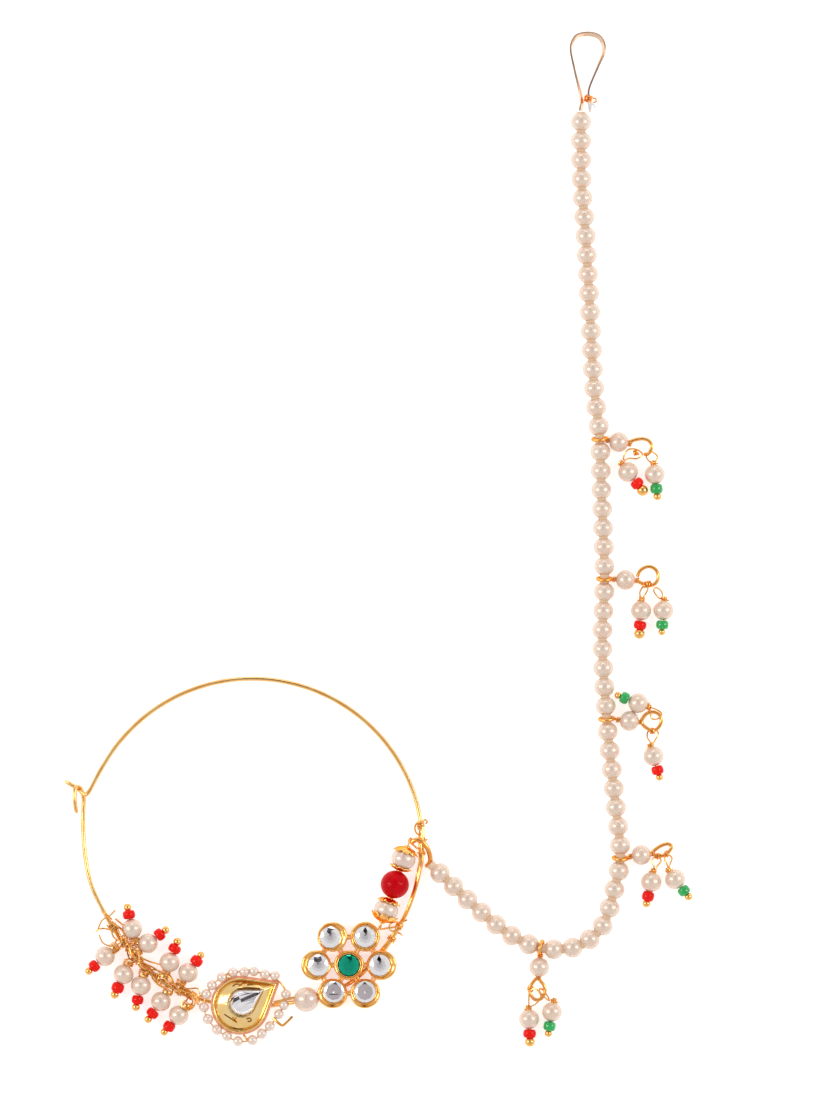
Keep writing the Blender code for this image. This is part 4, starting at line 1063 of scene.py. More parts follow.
def ring_to_string(looks):
    """Open ring between the hoop and the pearl string."""
    seat, _ = hoop_at(along_hoop(STACK_RUN + CHAIN_RING_PAST))
    seat.z = 0.0
    knots = [seat + Vector(row) * CHAIN_RING_REACH for row in CHAIN_RING_ROUTE]
    line = smooth(knots, 8)
    radii = [CHAIN_RING_WIRE * 1.2] * len(line)
    radii[0] = radii[-1] = CHAIN_RING_WIRE * 0.7
    work = bmesh.new()
    sweep(work, line, CHAIN_RING_WIRE, 12, radii=radii)
    piece(work, "chain_ring_fine", [looks["link_wire"]], ["chain_ring"])


def stack_axis():
    """Middle and axis of the bead stack."""
    angle = along_hoop(STACK_RUN)
    middle = hoop_middle() + polar(angle, HOOP_RADIUS * hoop_share(angle) - STACK_INSET)
    middle.z = STACK_HEIGHT
    return middle, polar(STACK_TILT, 1.0)


def stack_beads(looks):
    """Two pearls, a red bead and four scalloped caps on their wire."""
    middle, axis = stack_axis()
    bore = STACK_WIRE_RADIUS + RUN_GAP
    work = bmesh.new()
    size = STACK_RED_RADIUS * RED_BEAD_GROWTH
    lathe(work, ball_profile(size, 0.985, bore, bore), placed(middle, axis), 40)
    piece(work, "stack_red_bead_fine", [looks["red_bead"]], ["stack_red_bead"])
    half = STACK_PEARL_RADIUS * STACK_SQUASH
    reach = STACK_RED_RADIUS + SEAT_GAP * 2.0 + CAP_WALL + half
    for side, label in ((1.0, "top"), (-1.0, "bottom")):
        centre = middle + axis * side * reach
        work = bmesh.new()
        lathe(work, ball_profile(STACK_PEARL_RADIUS, STACK_SQUASH, bore, bore), placed(centre, axis), 40,
              tint=0.4)
        name = "stack_pearl_" + label
        piece(work, name + "_fine", [looks["big_pearl"]], [name])
        for end, way in (("outer", axis * side), ("inner", axis * -side)):
            scalloped_cap(label + "_" + end, centre, way, looks)
    end = reach + half + SEAT_GAP + CAP_WALL
    stack_thread(middle, axis, end, looks)


def scalloped_cap(name, place, axis, looks):
    """Thin flared cap with eight lobes, a rolled edge, ribs and a collar."""
    work = bmesh.new()
    where = placed(place, axis)
    outer = STACK_PEARL_RADIUS + SEAT_GAP + CAP_WALL
    inner = STACK_PEARL_RADIUS + SEAT_GAP * 0.5
    low = math.radians(CAP_FROM)
    skins = []
    for radius, rising in ((outer, 1.0), (inner, 0.0)):
        skins.append([])
        for row in range(CAP_ROWS + 1):
            ring = []
            share = row / CAP_ROWS
            for turn in turns_of(CAP_SIDES):
                lobe = abs(math.cos(turn * CAP_LOBES / 2.0)) ** 0.6
                tilt = low + (math.radians(CAP_REACHES[name]) * (0.74 + 0.26 * lobe) - low) * share
                flare = 1.0 + CAP_FLARE * share ** 3 + CAP_RIB * rising * lobe * math.sin(share * math.pi)
                spot = Vector((math.sin(tilt) * math.cos(turn), math.sin(tilt) * math.sin(turn),
                               math.cos(tilt) * STACK_SQUASH))
                ring.append(work.verts.new(where @ (spot * radius * flare)))
            skins[-1].append(ring)
    skin(work, skins[0] + list(reversed(skins[1])), CAP_SIDES, closed=True)
    edge = [(first.co + second.co) / 2.0 for first, second in zip(skins[0][-1], skins[1][-1])]
    sweep(work, edge, CAP_WALL * 0.72, 8, closed=True)
    collar = placed(place + axis * outer * STACK_SQUASH, axis)
    lathe(work, ball_profile(STACK_WIRE_RADIUS * 3.4, 0.5, STACK_WIRE_RADIUS, 0.0, 8), collar, 24)
    piece(work, "bead_cap_" + name + "_fine", [looks["cap_gold"]], ["bead_cap_" + name])


def stack_thread(middle, axis, end, looks):
    """Wire through the stack, wound round the hoop at both ends."""
    work = bmesh.new()
    inner = WIRE_RADIUS + RUN_GAP * 0.5
    upper, upper_way = hoop_at(along_hoop(STACK_UPPER_RUN))
    lower, lower_way = hoop_at(along_hoop(STACK_LOWER_RUN))
    for place, way in ((upper, upper_way), (lower, lower_way)):
        wound(work, place, way, inner, STACK_WIRE_RADIUS, 3.0, STACK_WIRE_RADIUS * 2.2)
    above = middle + axis * (end + STACK_WIRE_REACH) - UP * STACK_WIRE_LIFT
    beside = []
    for run in STACK_BESIDE:
        place, way = hoop_at(along_hoop(STACK_UPPER_RUN - run))
        beside.append(place - across_of(way) * STACK_BESIDE_SHIFT)
    below = middle - axis * (end + STACK_WIRE_REACH * 0.55)
    lift = UP * (WIRE_RADIUS + STACK_WIRE_RADIUS)
    knots = [upper + lift, *beside, above, middle + axis * end, middle - axis * end, below,
             below - axis * STACK_TURN, lower + lift]
    sweep(work, smooth(knots, 8), STACK_WIRE_RADIUS, 10)
    piece(work, "stack_wire_fine", [looks["fine_wire"]], ["stack_wire"])


def collet_rows():
    """Profile of a rolled collet, from its bowl to its foot: radius, height, share of the bowl's shift."""
    inner = COLLET_RADIUS - COLLET_WALL
    rim = FLOWER_RIM
    wall = COLLET_WALL
    return [(0.0, FLOWER_FLOOR, 1.0), (inner * 0.99, FLOWER_FLOOR, 1.0),
            (inner * 0.99, rim - wall * 0.25, 1.0), (inner + wall * 0.06, rim - wall * 0.02, 1.0),
            (inner + wall * 0.17, rim, 0.9),
            (inner + wall * 0.27, rim - wall * 0.08, 0.8), (inner + wall * 0.34, rim - wall * 0.26, 0.7),
            (inner + wall * 0.42, rim - wall * 0.22, 0.5), (inner + wall * 0.56, rim - wall * 0.05, 0.3),
            (inner + wall * 0.70, rim - wall * 0.03, 0.15), (inner + wall * 0.86, rim - wall * 0.16, 0.0),
            (inner + wall * 0.96, rim - wall * 0.42, 0.0), (COLLET_RADIUS, rim - wall * 0.80, 0.0),
            (COLLET_RADIUS * 0.97, rim * 0.60, 0.0), (COLLET_RADIUS * 0.86, rim * 0.28, 0.0),
            (COLLET_RADIUS * 0.80, 0.0, 0.0), (0.0, 0.0, 0.0)]


def collet(work, place, bowl, rng):
    """One soldered collet, a little uneven, whose bowl may sit off its middle."""
    waves = [(rng.uniform(0.004, 0.010), number, rng.uniform(0.0, 6.0)) for number in (2, 3, 5, 9)]
    rings = []
    for radius, height, share in collet_rows():
        if not radius:
            rings.append([work.verts.new(place + UP * height)])
            continue
        ring = []
        for turn in turns_of(COLLET_SIDES):
            wave = sum(size * math.sin(turn * count + phase) for size, count, phase in waves)
            reach = radius * (1.0 + wave * (1.0 - share * 0.7))
            lift = height + wave * COLLET_WALL * 1.6 * (height > FLOWER_FLOOR)
            ring.append(work.verts.new(place + Vector((reach * math.cos(turn), reach * math.sin(turn), lift))
                                       + bowl * share))
        rings.append(ring)
    skin(work, rings, COLLET_SIDES)


def flower(looks):
    """Seven soldered collets, solder between them and their stones."""
    work = bmesh.new()
    rng = random.Random(DRAWS["flower"])
    places = petal_places()
    collet(work, Vector(), Vector(), rng)
    for place, (x, y, _, _) in zip(places, FLOWER_STONES):
        collet(work, place, flat(x, y), rng)
    outer = PETAL_RING * math.cos(math.pi / PETAL_COUNT)
    height = FLOWER_RIM - BRIDGE_SINK - BRIDGE_RADIUS * 0.35
    for index in range(PETAL_COUNT):
        for radius, angle, turned in ((PETAL_RING / 2.0, 0.0, 0.0), (outer, 180.0 / PETAL_COUNT, 90.0)):
            heading = angle + 360.0 * index / PETAL_COUNT
            across = polar(heading + turned, 1.0)
            middle = polar(heading, radius) + UP * height
            for shift in (-0.42, 0.42):
                side = polar(heading + 90.0 - turned, BRIDGE_RADIUS * shift)
                bar = [middle + side + across * run * BRIDGE_RADIUS for run in (-1.3, -0.5, 0.5, 1.3)]
                sweep(work, bar, BRIDGE_RADIUS * rng.uniform(0.30, 0.42), 8)
    piece(work, "flower_setting_fine", [looks["gold"]], ["flower_setting"], 60.0)
    cut_stone("flower_stone_green", Vector(), looks, "emerald", "green", 0.0)
    for index, (place, (x, y, turn, cut)) in enumerate(zip(places, FLOWER_STONES), 1):
        cut_stone("flower_stone_clear_%d" % index, place + flat(x, y), looks, "foil_stone", cut, turn)
    # Dark dots and a line painted as reflections on the flat stones' tables
    work = bmesh.new()
    for index, row in TABLE_REFLECTION_MARKS:
        x, y, _, _ = FLOWER_STONES[index]
        middle = places[index] + flat(x, y, FLOWER_FLOOR + SEAT_GAP + FLOWER_STONE_RISE * MARK_RISE)
        sweep(work, [middle + flat(*spot) for spot in row], MARK_RADIUS, 6)
    piece(work, "flower_stone_reflection_marks", [looks["foil_dark_reflection"]])


def cut_stone(name, place, looks, look, cut, turn):
    """Round stone from rings of corners over a foil back, some of its facets in a second look."""
    work = bmesh.new()
    count, second_look, shares, headings, levels = STONE_CUTS[cut]
    girdle = (COLLET_RADIUS - COLLET_WALL) * STONE_BREADTH
    base = FLOWER_FLOOR + SEAT_GAP
    where = Matrix.Translation(place) @ Matrix.Rotation(math.radians(turn), 4, "Z")
    rings = [facet_ring(work, where, girdle * STONE_BACK, base, count * 2, 0.0),
             facet_ring(work, where, girdle, base + FLOWER_STONE_RISE * GIRDLE_RISE, count * 2, 0.0)]
    skin(work, rings, count * 2)
    work.faces.new(list(reversed(rings[0])))
    first = rings[1][::2]
    for number, (share, rise) in enumerate(levels):
        shift = 0.5 if number % 2 == 0 else 0.0
        ring = facet_ring(work, where, girdle * share, base + FLOWER_STONE_RISE * rise, count, shift)
        for index in range(count):
            after = (index + 1) % count
            if number == 0:
                low = rings[1][2 * index + 1]
                work.faces.new((first[index], low, ring[index]))
                work.faces.new((low, first[after], ring[index]))
                work.faces.new((first[after], ring[after], ring[index]))
            elif shift:
                work.faces.new((first[index], first[after], ring[index]))
                work.faces.new((ring[index], first[after], ring[after]))
            else:
                work.faces.new((first[index], ring[after], ring[index]))
                work.faces.new((first[index], first[after], ring[after]))
        first = ring
    work.faces.new(first)
    back = where.inverted()
    # The second look is a painted dark reflection on the domed stones and a painted shadow of the collet on
    # the emerald's rim
    for face in work.faces:
        spot = back @ face.calc_center_median()
        heading = math.degrees(math.atan2(spot.y, spot.x)) % 360.0
        inside = shares[0] < spot.to_2d().length / girdle < shares[1]
        face.material_index = int(inside and headings[0] < heading < headings[1])
    piece(work, name + "_cut", [looks[look], looks[second_look]], [name], 0.0)


def facet_ring(work, where, radius, height, count, shift):
    """Ring of corners of a cut stone."""
    return [work.verts.new(where @ Vector((radius * math.cos(turn), radius * math.sin(turn), height)))
            for turn in turns_of(count, shift)]


def joining_pearl(looks):
    """Pearl between the flower and the kundan drop."""
    place, along = hoop_at(along_hoop(JOIN_PEARL_RUN))
    work = bmesh.new()
    profile = ball_profile(JOIN_PEARL_RADIUS, 1.0, JOIN_BORE_RADIUS, JOIN_DIMPLE)
    lathe(work, profile, placed(place, along), 40, tint=0.8)
    piece(work, "connecting_pearl_fine", [looks["big_pearl"]], ["connecting_pearl"])


def pear_where():
    """Matrix from the pear's own frame to the jewel's."""
    return Matrix.Translation(pear_middle()) @ Matrix.Rotation(math.radians(PEAR_HEADING), 4, "Z")


def pear_skin(work, rows, where):
    """Smooth body through pear outlines from rows of offset and height."""
    rings = []
    for offset, height in rows:
        lift = UP * height + seat_shift(offset)
        rings.append([work.verts.new(where @ (place + lift)) for place in round_pear(offset, PEAR_SIDES)])
    skin(work, rings, PEAR_SIDES)
    caps(work, rings)


def seat_shift(offset):
    """Sideways shift in the pear's own frame, nothing at its rim and full at the stone."""
    share = max(0.0, min(1.0, (-offset - SHIFT_FROM) / (KUNDAN_SEAT - SHIFT_FROM)))
    return Matrix.Rotation(math.radians(-PEAR_HEADING), 3, "Z") @ STONE_SHIFT * share


def round_pear(offset, count):
    """Pear outline whose tip is slightly rounded."""
    places = pear_outline(offset, count)
    for _ in range(3):
        kept = [place.copy() for place in places]
        for index in (-2, -1, 0, 1, 2):
            places[index] = (kept[index - 1] + kept[index] * 2.0 + kept[index + 1]) / 4.0
    return places


def kundan_rows():
    """Profile of the setting from its foot: wall, rolled rim, groove, broad dome and stone edge."""
    rim = PEAR_WALL * 0.8
    groove = rim + 0.14 * MM
    rows = [(-0.35 * MM, 0.0), (-0.05 * MM, 0.9 * MM), (0.0, PEAR_RIM - rim * 0.6)]
    for index in range(1, 8):
        turn = math.pi * index / 8
        rows.append((-rim / 2.0 * (1.0 - math.cos(turn)), PEAR_RIM - rim * 0.6 + rim * 0.6 * math.sin(turn)))
    rows += [(-rim, PEAR_RIM - rim * 0.7), (-groove, PEAR_RIM - rim * 1.1)]
    crest = KUNDAN_SEAT - 0.22 * MM
    dome = PEAR_DOME + KUNDAN_LIFT
    low = PEAR_RIM - rim * 0.9
    for index in range(1, 11):
        share = index / 10
        swell = 1.0 - (1.0 - share) ** KUNDAN_SWELL
        rows.append((-groove - (crest - groove) * share, low + (dome - low) * swell))
    rows += [(-crest - 0.1 * MM, dome + 0.01 * MM), (-KUNDAN_SEAT, dome - 0.10 * MM),
             (-KUNDAN_SEAT - 0.1 * MM, PEAR_FLOOR)]
    return rows


def kundan(looks):
    """Pear setting, foil stone, seed pearls round it and loose wire ends."""
    work = bmesh.new()
    where = pear_where()
    pear_skin(work, kundan_rows(), where)
    bmesh.ops.recalc_face_normals(work, faces=work.faces)
    surface = BVHTree.FromBMesh(work)
    piece(work, "kundan_setting_fine", [looks["kundan_gold"]], ["kundan_setting"], 50.0)
    # Dark lines laid on the setting along its creases, painted shade
    work = bmesh.new()
    for row in CREASES:
        line = []
        for place in smooth([flat(x, y) for x, y in row], 4):
            hit = surface.ray_cast(place + UP * RAY_HEIGHT, -UP)[0]
            line.append(hit or place + UP * PEAR_DOME)
        sweep(work, line, CREASE_SHADE_RADIUS, 6)
    piece(work, "kundan_crease_shade", [looks["crease"]])
    kundan_stone(where, looks)
    kundan_border(where, looks)


def kundan_stone(where, looks):
    """Teardrop stone with a faceted rim and a striped table over foil, some stripes painted with a dark
    reflection.
    """
    work = bmesh.new()
    seat = -KUNDAN_SEAT - SEAT_GAP * 0.3
    dome = PEAR_DOME + KUNDAN_LIFT
    rise = KUNDAN_STONE_RISE
    top = dome + rise
    count = KUNDAN_FACETS
    rings = []
    for offset, height, shift in ((seat, PEAR_FLOOR + SEAT_GAP, 0), (seat, dome - 0.05 * MM, 0),
                                  (seat - rise * 0.30, top - rise * 0.45, 1),
                                  (seat - rise * 0.70, top - rise * 0.12, 0)):
        lift = UP * height + seat_shift(-KUNDAN_SEAT)
        places = pear_outline(offset, count * 2)
        rings.append([work.verts.new(where @ (places[(2 * index + shift) % (count * 2)] + lift))
                      for index in range(count)])
    for lower, upper in zip(rings, rings[1:]):
        for index in range(count):
            after = (index + 1) % count
            work.faces.new((lower[index], lower[after], upper[index]))
            work.faces.new((lower[after], upper[after], upper[index]))
    caps(work, rings)
    stripes(work, where)
    piece(work, "kundan_stone_cut", [looks["foil_stone"], looks["foil_dark_reflection"]],
          ["kundan_stone"], 0.0)


def stripes(work, where):
    """Cut the table of the kundan stone into long facets that tilt by turns."""
    middle = where @ (Vector((STRIPE_MIDDLE, 0.0, 0.0)) + seat_shift(-KUNDAN_SEAT))
    along = polar(STRIPE_HEADING, 1.0)
    across = polar(STRIPE_HEADING + 90.0, 1.0)
    step = 2.0 * (PEAR_RADIUS - KUNDAN_SEAT) / STRIPES
    work.normal_update()
    for index in range(STRIPES - 1):
        place = middle + across * step * (index - STRIPES / 2.0 + 1.0)
        made = split(work, 0.95, place, across)
        for vert in {item for item in made["geom_cut"] if isinstance(item, bmesh.types.BMVert)}:
            vert.co.z += STRIPE_RISE if index % 2 else 0.0
        work.normal_update()
    cut = middle + along * STRIPE_SPLIT
    split(work, 0.9, cut, along)
    work.normal_update()
    # Listed stripes of the table take the painted dark reflection
    for face in work.faces:
        if face.normal.z < 0.8:
            continue
        spot = face.calc_center_median() - cut
        stripe = int(math.floor(spot.dot(across) / step + STRIPES / 2.0))
        face.material_index = int((stripe, spot.dot(along) > 0.0) in DARK_REFLECTION_FACETS)


def split(work, level, place, normal):
    """Cut the faces that lie flatter than a level with a plane."""
    parts = [face for face in work.faces if face.normal.z > level]
    edges = list({edge for face in parts for edge in face.edges})
    verts = list({vert for face in parts for vert in face.verts})
    return bmesh.ops.bisect_plane(work, geom=parts + edges + verts, dist=0.00001 * MM, plane_co=place,
                                  plane_no=normal)


def kundan_border(where, looks):
    """Seed pearls on their thread round the setting, and the wires that bind them."""
    beads, wire, coral = bmesh.new(), bmesh.new(), bmesh.new()
    rng = random.Random(DRAWS["border"])
    places = [flat(x, y, BORDER_HEIGHT) for x, y in BORDER_PLACES]
    for index, place in enumerate(places):
        axis = (places[min(index + 1, len(places) - 1)] - places[max(index - 1, 0)]).normalized()
        size = SEED_PEARL_RADIUS * rng.uniform(1.0, 1.10)
        lean = Vector([rng.uniform(-0.2, 0.2) for _ in range(3)])
        profile = ball_profile(size, 1.0, BORDER_BORE, BORDER_DIMPLE, 12)
        lathe(beads, profile, placed(place, axis + lean), 24, 0.9)
    sweep(wire, smooth(places, 4), BORDER_THREAD, 6)
    piece(beads, "kundan_border_pearls", [looks["seed_pearl"]], ["kundan_border"])
    lift = UP * (BORDER_HEIGHT - CORAL_RADIUS * 0.5)
    line = [where @ (place + lift) for place in pear_outline(CORAL_RADIUS * 0.3, PEAR_SIDES)]
    sweep(coral, line, CORAL_RADIUS, 8, closed=True)
    piece(coral, "kundan_border_thread", [looks["coral"]], ["kundan_border"])
    for radius, row in KUNDAN_WIRES:
        sweep(wire, bent(row, 6), radius * MM, 8)
    piece(wire, "kundan_border_wire", [looks["fine_wire"]])


def drop(name, number, looks, pearl_place, heading, colour, hook=None):
    """One small drop: pearl, seed and ball on a wire, with a coil and stems to its hook or with a loop."""
    rng = random.Random(number)
    way = polar(heading, 1.0)
    pearl, seed, wires = bmesh.new(), bmesh.new(), bmesh.new()
    size = DROP_PEARL_RADIUS * rng.uniform(1.01, 1.04)
    lathe(pearl, ball_profile(size, 0.975, DROP_BORE, DROP_DIMPLE, 16), placed(pearl_place, way), 32, 0.5)
    skew = Vector((rng.uniform(-0.12, 0.12), rng.uniform(-0.12, 0.12), 0.0))
    half = DROP_SEED_LENGTH * rng.uniform(0.46, 0.54)
    seed_place = pearl_place + way * (DROP_PEARL_RADIUS + DROP_SEED_LENGTH * 0.5)
    lathe(seed, seed_profile(DROP_SEED_RADIUS * rng.uniform(0.97, 1.05), half, SEED_BORE),
          placed(seed_place, way + skew), 28)
    size = DROP_BALL_RADIUS * BALL_SHARES.get(name, rng.uniform(0.9, 1.05))
    ball = pearl_place + way * (DROP_PEARL_RADIUS + DROP_SEED_LENGTH + size * 0.75)
    lathe(wires, ball_profile(size, 1.0, 0.0, 0.0, 12), placed(ball, way), 24)
    sweep(wires, [pearl_place - way * DROP_PEARL_RADIUS * 0.9, ball], DROP_WIRE_RADIUS, 8)
    if hook is not None:
        base_coil(wires, pearl_place, hook, way, rng)
    else:
        drop_loop(wires, pearl_place, heading, DROP_LOOPS[name.removeprefix("string_drop_")], rng)
    piece(pearl, name + "_pearl", [looks["pearl"]], [name])
    piece(seed, name + "_seed", [looks[colour + "_seed"]], [name])
    piece(wires, name + "_wire", [looks["drop_gold"]], [name])


def drop_loop(wires, pearl_place, heading, row, rng):
    """Coil, loose end and open loop above a string drop's pearl."""
    way = polar(heading, 1.0)
    rear = pearl_place - way * (DROP_PEARL_RADIUS + DROP_NECK)
    wound(wires, rear + way * DROP_NECK * 0.35, way, NECK_RADIUS, COIL_WIRE, 2.8, COIL_WIRE * 2.0, 12,
          rng.uniform(0.0, 6.0))
    end = rear + polar(heading + rng.choice((-70.0, 75.0)), TAIL_LENGTH) + UP * TAIL_LIFT
    sweep(wires, smooth([rear, rear.lerp(end, 0.6) + way * 0.12 * MM, end], 4), COIL_WIRE * 0.9, 6)
    lifts = [LOOP_LIFT * math.sin(turn) for turn in turns_of(len(row))]
    knots = [pearl_place + flat(x, y, lift) for (x, y), lift in zip(row, lifts)]
    sweep(wires, smooth(knots, 6, closed=True), DROP_WIRE_RADIUS, 8, closed=True)


def base_coil(wires, pearl_place, hook, way, rng):
    """Wide coil at the foot of a cluster pearl, and its two stems to the hoop wire."""
    turns = rng.uniform(2.6, 3.6)
    pitch = COIL_WIRE * 2.35
    back = pearl_place - way * (DROP_PEARL_RADIUS * 0.97 + turns * pitch / 2.0)
    wound(wires, back, way, COIL_RADIUS, COIL_WIRE, turns, pitch, 18, rng.uniform(0.0, 6.0))
    side = Vector((-way.y, way.x, 0.0))
    foot = back - way * turns * pitch * 0.5
    for shift in (-1.0, 1.0):
        start = foot + side * COIL_RADIUS * 0.9 * shift
        lift = UP * (WIRE_RADIUS + COIL_WIRE) * shift
        middle = start.lerp(hook, 0.5) + side * COIL_RADIUS * 0.35 * shift + lift * 0.6
        past = hook - way * STEM_PAST + lift * 0.7 - side * STEM_SIDE * shift
        sweep(wires, smooth([start, middle, hook + lift * 1.15, past], 5), COIL_WIRE, 6)


def cluster(looks):
    """Nine drops on the lower left of the hoop wire, and the wire that binds them."""
    for number, (name, angle, share, pearl_angle, heading) in enumerate(CLUSTER_DROPS):
        place = hoop_place(pearl_angle, share, DROP_HEIGHT)
        drop("cluster_drop_" + name, number, looks, place, heading, "red", hoop_at(angle)[0])
    bundle(looks)


def bundle(looks):
    """Strands that run along the hoop wire from tie to tie, tight ties and loose ends."""
    work = bmesh.new()
    rng = random.Random(DRAWS["bundle"])
    for strand in range(STRAND_COUNT):
        knots = []
        for index in range(STRAND_KNOTS):
            share = index / (STRAND_KNOTS - 1)
            place, way = hoop_at(STRAND_FROM + (STRAND_TO - STRAND_FROM) * share)
            side = rng.uniform(-1.0, 1.0) + (strand - STRAND_COUNT / 2.0) * 0.35
            lift = UP * rng.uniform(0.1, 0.9) * MM
            knots.append(place + across_of(way) * side * STRAND_REACH + lift)
        sweep(work, smooth(knots, 5), COIL_WIRE, 6)
    for number, (angle, turns) in enumerate(TIES):
        place, way = hoop_at(angle)
        tilt = Vector((-way.y, way.x, 0.0)) * math.sin(number * 2.4) * 0.5
        wound(work, place + UP * (0.1 * MM), way + tilt, TIE_RADIUS, COIL_WIRE, turns,
              COIL_WIRE * 2.4, 16, number * 1.7)
    for row in WHISKERS:
        sweep(work, bent(row, 6), COIL_WIRE, 6)
    piece(work, "cluster_wires", [looks["fine_wire"]])


def pearl_string(looks):
    """Fifty-two pearls that touch, on a thick thread coloured as painted warm shade between them."""
    work, thread = bmesh.new(), bmesh.new()
    line = string_line(BEAD_STEPS)
    rng = random.Random(DRAWS["string"])
    for bead in string_beads()[0]:
        middle = STRING_BEAD_RADIUS + bead
        before, place, after = walk(line, [middle - BEAD_REACH, middle, middle + BEAD_REACH])
        axis = (after - before).normalized()
        lean = Vector([rng.uniform(-0.14, 0.14) for _ in range(3)])
        size = STRING_BEAD_RADIUS * rng.uniform(1.03, 1.05)
        lathe(work, ball_profile(size, rng.uniform(0.945, 0.965), STRING_BORE, STRING_DIMPLE, 16),
              placed(place, axis + lean), 32, tint=0.85)
    # Thick thread that shows only in the gaps between pearls, painted warm shade
    sweep(thread, line, THREAD_SHADE_TUBE, 16)
    piece(work, "string_pearls", [looks["pearl"]], ["pearl_string"])
    piece(thread, "string_thread_shade", [looks["neck"]], ["pearl_string"])


def side_links(looks):
    """Rings on the string, each with a pearl on a pin and a loop, and the drops on the loops."""
    line = string_line(LINK_STEPS)
    loops = [side_link(looks, line, *row) for row in zip(range(1, 6), string_beads()[1], SIDE_LINKS)]
    for number, (link, colour, x, y, heading) in enumerate(STRING_DROPS, DRAWS["string_drops"]):
        place = loops[link - 1] + Vector((x, y, 0.0)) * LINK_LOOP_RADIUS
        drop("string_drop_%d_%s" % (link, colour), number, looks, place, heading, colour)


def side_link(looks, line, index, joint, row):
    """One ring with its pearl, pin and loop; gives the loop's middle."""
    heading, distance = row
    at = joint + STRING_BEAD_RADIUS
    before, place, after = walk(line, [at - MM, at, at + MM])
    way = polar(heading, 1.0)
    bead = place + way * distance * LINK_PEARL_RADIUS
    loop = bead + way * LINK_PEARL_TO_LOOP
    thread = (after - before).normalized()
    side = (way - thread * way.dot(thread)).normalized()
    tilt = math.radians(RING_TILT)
    rise = thread.cross(side) * math.cos(tilt) + thread * math.sin(tilt)
    work = bmesh.new()
    ring = [place + (side * math.cos(turn) + rise * math.sin(turn)) * LINK_RING_RADIUS
            for turn in turns_of(28)]
    sweep(work, ring, LINK_RING_WIRE * 0.85, 12, closed=True)
    pin = [place + side * LINK_RING_RADIUS, bead - way * LINK_PEARL_RADIUS, loop - way * LINK_LOOP_RADIUS]
    sweep(work, pin, LINK_PIN_RADIUS, 10)
    for end in (-1.0, 1.0):
        coil = bead + way * end * (LINK_PEARL_RADIUS + LINK_COIL_PAST)
        wound(work, coil, way, LINK_PIN_RADIUS, COIL_WIRE, 2.0, COIL_WIRE * 2.0)
    link_loop(work, loop, index)
    for number, x, y, turned, turns in LINK_TIES:
        if number == index:
            tie = loop + flat(x, y)
            wound(work, tie, polar(turned, 1.0), LINK_LOOP_WIRE, COIL_WIRE, turns, COIL_WIRE * 2.2)
    name = "link_wire_%d" % index
    piece(work, name + "_fine", [looks["link_wire"]], [name])
    work = bmesh.new()
    profile = ball_profile(LINK_PEARL_RADIUS, 0.97, LINK_BORE, LINK_DIMPLE, 16)
    lathe(work, profile, placed(bead, way), 32)
    name = "link_pearl_%d" % index
    piece(work, name + "_fine", [looks["pearl"]], [name])
    return loop


def link_loop(work, middle, index):
    """Bent wire loop at the end of a side link."""
    closed, rows = LINK_LOOPS[index - 1]
    knots = [middle + flat(x, y) for x, y in rows]
    radii = None
    if not closed:
        knots[0].z += LOOP_START_LIFT
        knots[-1].z += LOOP_END_LIFT
    line = smooth(knots, 6, closed)
    if not closed:
        radii = [LINK_LOOP_WIRE] * len(line)
        radii[0] = radii[-1] = LINK_LOOP_WIRE * 0.7
    sweep(work, line, LINK_LOOP_WIRE, 12, closed, radii)


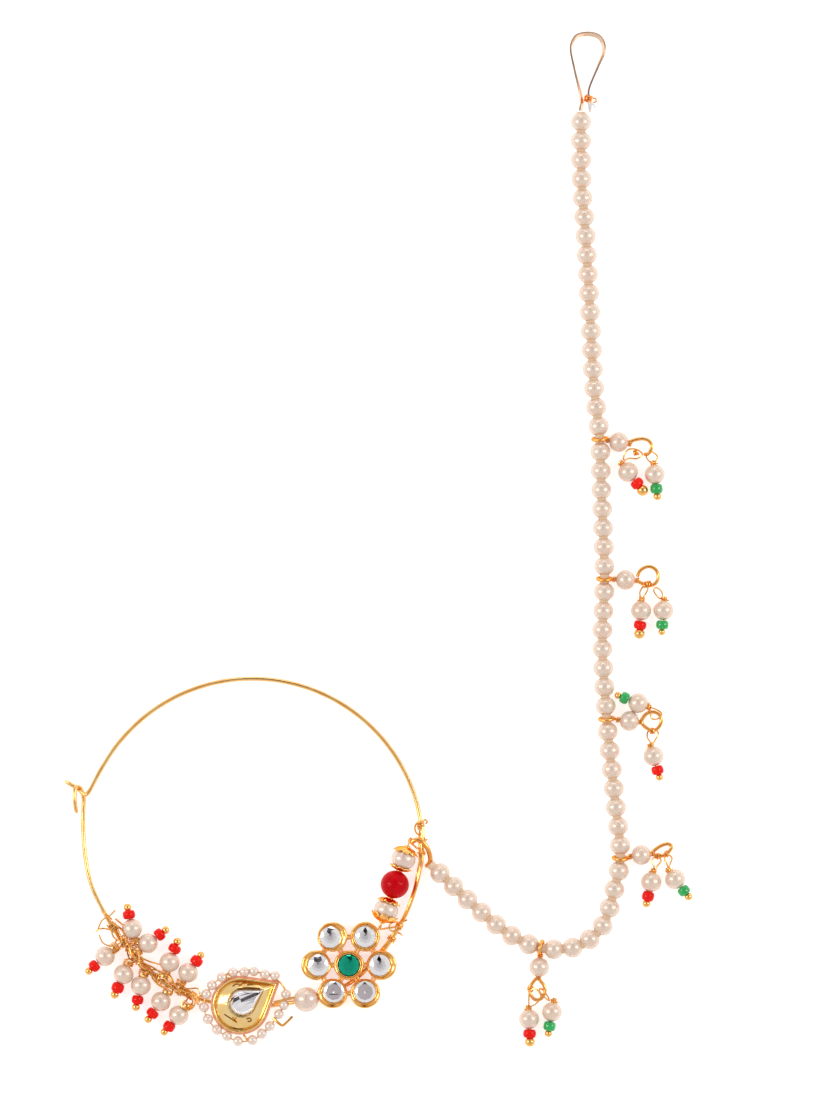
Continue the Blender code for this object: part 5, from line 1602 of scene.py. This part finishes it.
def hair_hook(looks):
    """Thin flat strip on its edge, its coiled end and the thread knot."""
    start = string_place(*STRING_ROUTE[0], 0.0) + Vector((0.0, HOOK_GAP, 0.0))
    knots = [start + Vector((x * HOOK_LOOP_WIDTH, y * HOOK_LENGTH, HOOK_HEIGHT)) for x, y in HOOK_ROUTE]
    knots.append(knots[-1] + HOOK_PAST)
    line = smooth(knots, 6)
    work = bmesh.new()
    rings = []
    for index, place in enumerate(line):
        across = across_of(line[min(index + 1, len(line) - 1)] - line[max(index - 1, 0)])
        share = index / (len(line) - 1)
        tilt = 0.0
        for angle, middle, spread in HOOK_TILTS:
            tilt += math.radians(angle) * math.exp(-((share - middle) / spread) ** 2)
        broad = UP * math.cos(tilt) + across * math.sin(tilt)
        thick = across * math.cos(tilt) - UP * math.sin(tilt)
        rings.append([work.verts.new(place + broad * u * HOOK_STRIP_WIDTH + thick * v * HOOK_STRIP_THICKNESS)
                      for u, v in STRIP_SECTION])
    count = len(STRIP_SECTION)
    skin(work, rings, count, look=1)
    # Narrow sides and ends take the darker copy of the gold, painted shade
    for index, face in enumerate(work.faces):
        face.material_index = 0 if index % count in STRIP_BROAD else 1
    caps(work, rings, 1)
    piece(work, "hair_hook_strip", [looks["strip"], looks["strip_edge"]], ["hair_hook"], 35.0)
    work = bmesh.new()
    place = (line[-1] + line[-7]) / 2.0
    wound(work, place, line[-1] - line[-7], HOOK_STRIP_WIDTH * 0.5, BINDING_WIRE, 3.5, BINDING_WIRE * 2.2)
    radius, row = HOOK_TAIL
    sweep(work, bent(row, 5), radius * MM, 8)
    piece(work, "hair_hook_binding_fine", [looks["coil"]], ["hair_hook_binding"])
    for name, look, radius, row in HOOK_THREADS:
        work = bmesh.new()
        sweep(work, bent(row, 5), radius * MM, 8)
        piece(work, name, [looks[look]])


def make_looks():
    """All materials, by short name."""
    looks = {}
    for maker, rows in ((gold_look, GOLD_LOOKS), (pearl_look, PEARL_LOOKS), (glass_look, GLASS_LOOKS),
                        (foil_stone_look, STONE_LOOKS), (thread_look, THREAD_LOOKS)):
        looks.update((key, maker(*row)) for key, row in rows.items())
    return looks


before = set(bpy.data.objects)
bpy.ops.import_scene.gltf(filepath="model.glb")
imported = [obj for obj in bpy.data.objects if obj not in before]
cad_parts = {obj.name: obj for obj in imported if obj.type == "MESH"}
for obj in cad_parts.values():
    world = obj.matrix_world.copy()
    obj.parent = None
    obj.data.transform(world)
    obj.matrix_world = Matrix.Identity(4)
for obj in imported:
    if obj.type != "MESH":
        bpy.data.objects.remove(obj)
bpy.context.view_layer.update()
materials = make_looks()
for build in (hoop, bindings, ring_to_string, stack_beads, flower, joining_pearl, kundan, cluster,
              pearl_string, side_links, hair_hook):
    build(materials)
stage()
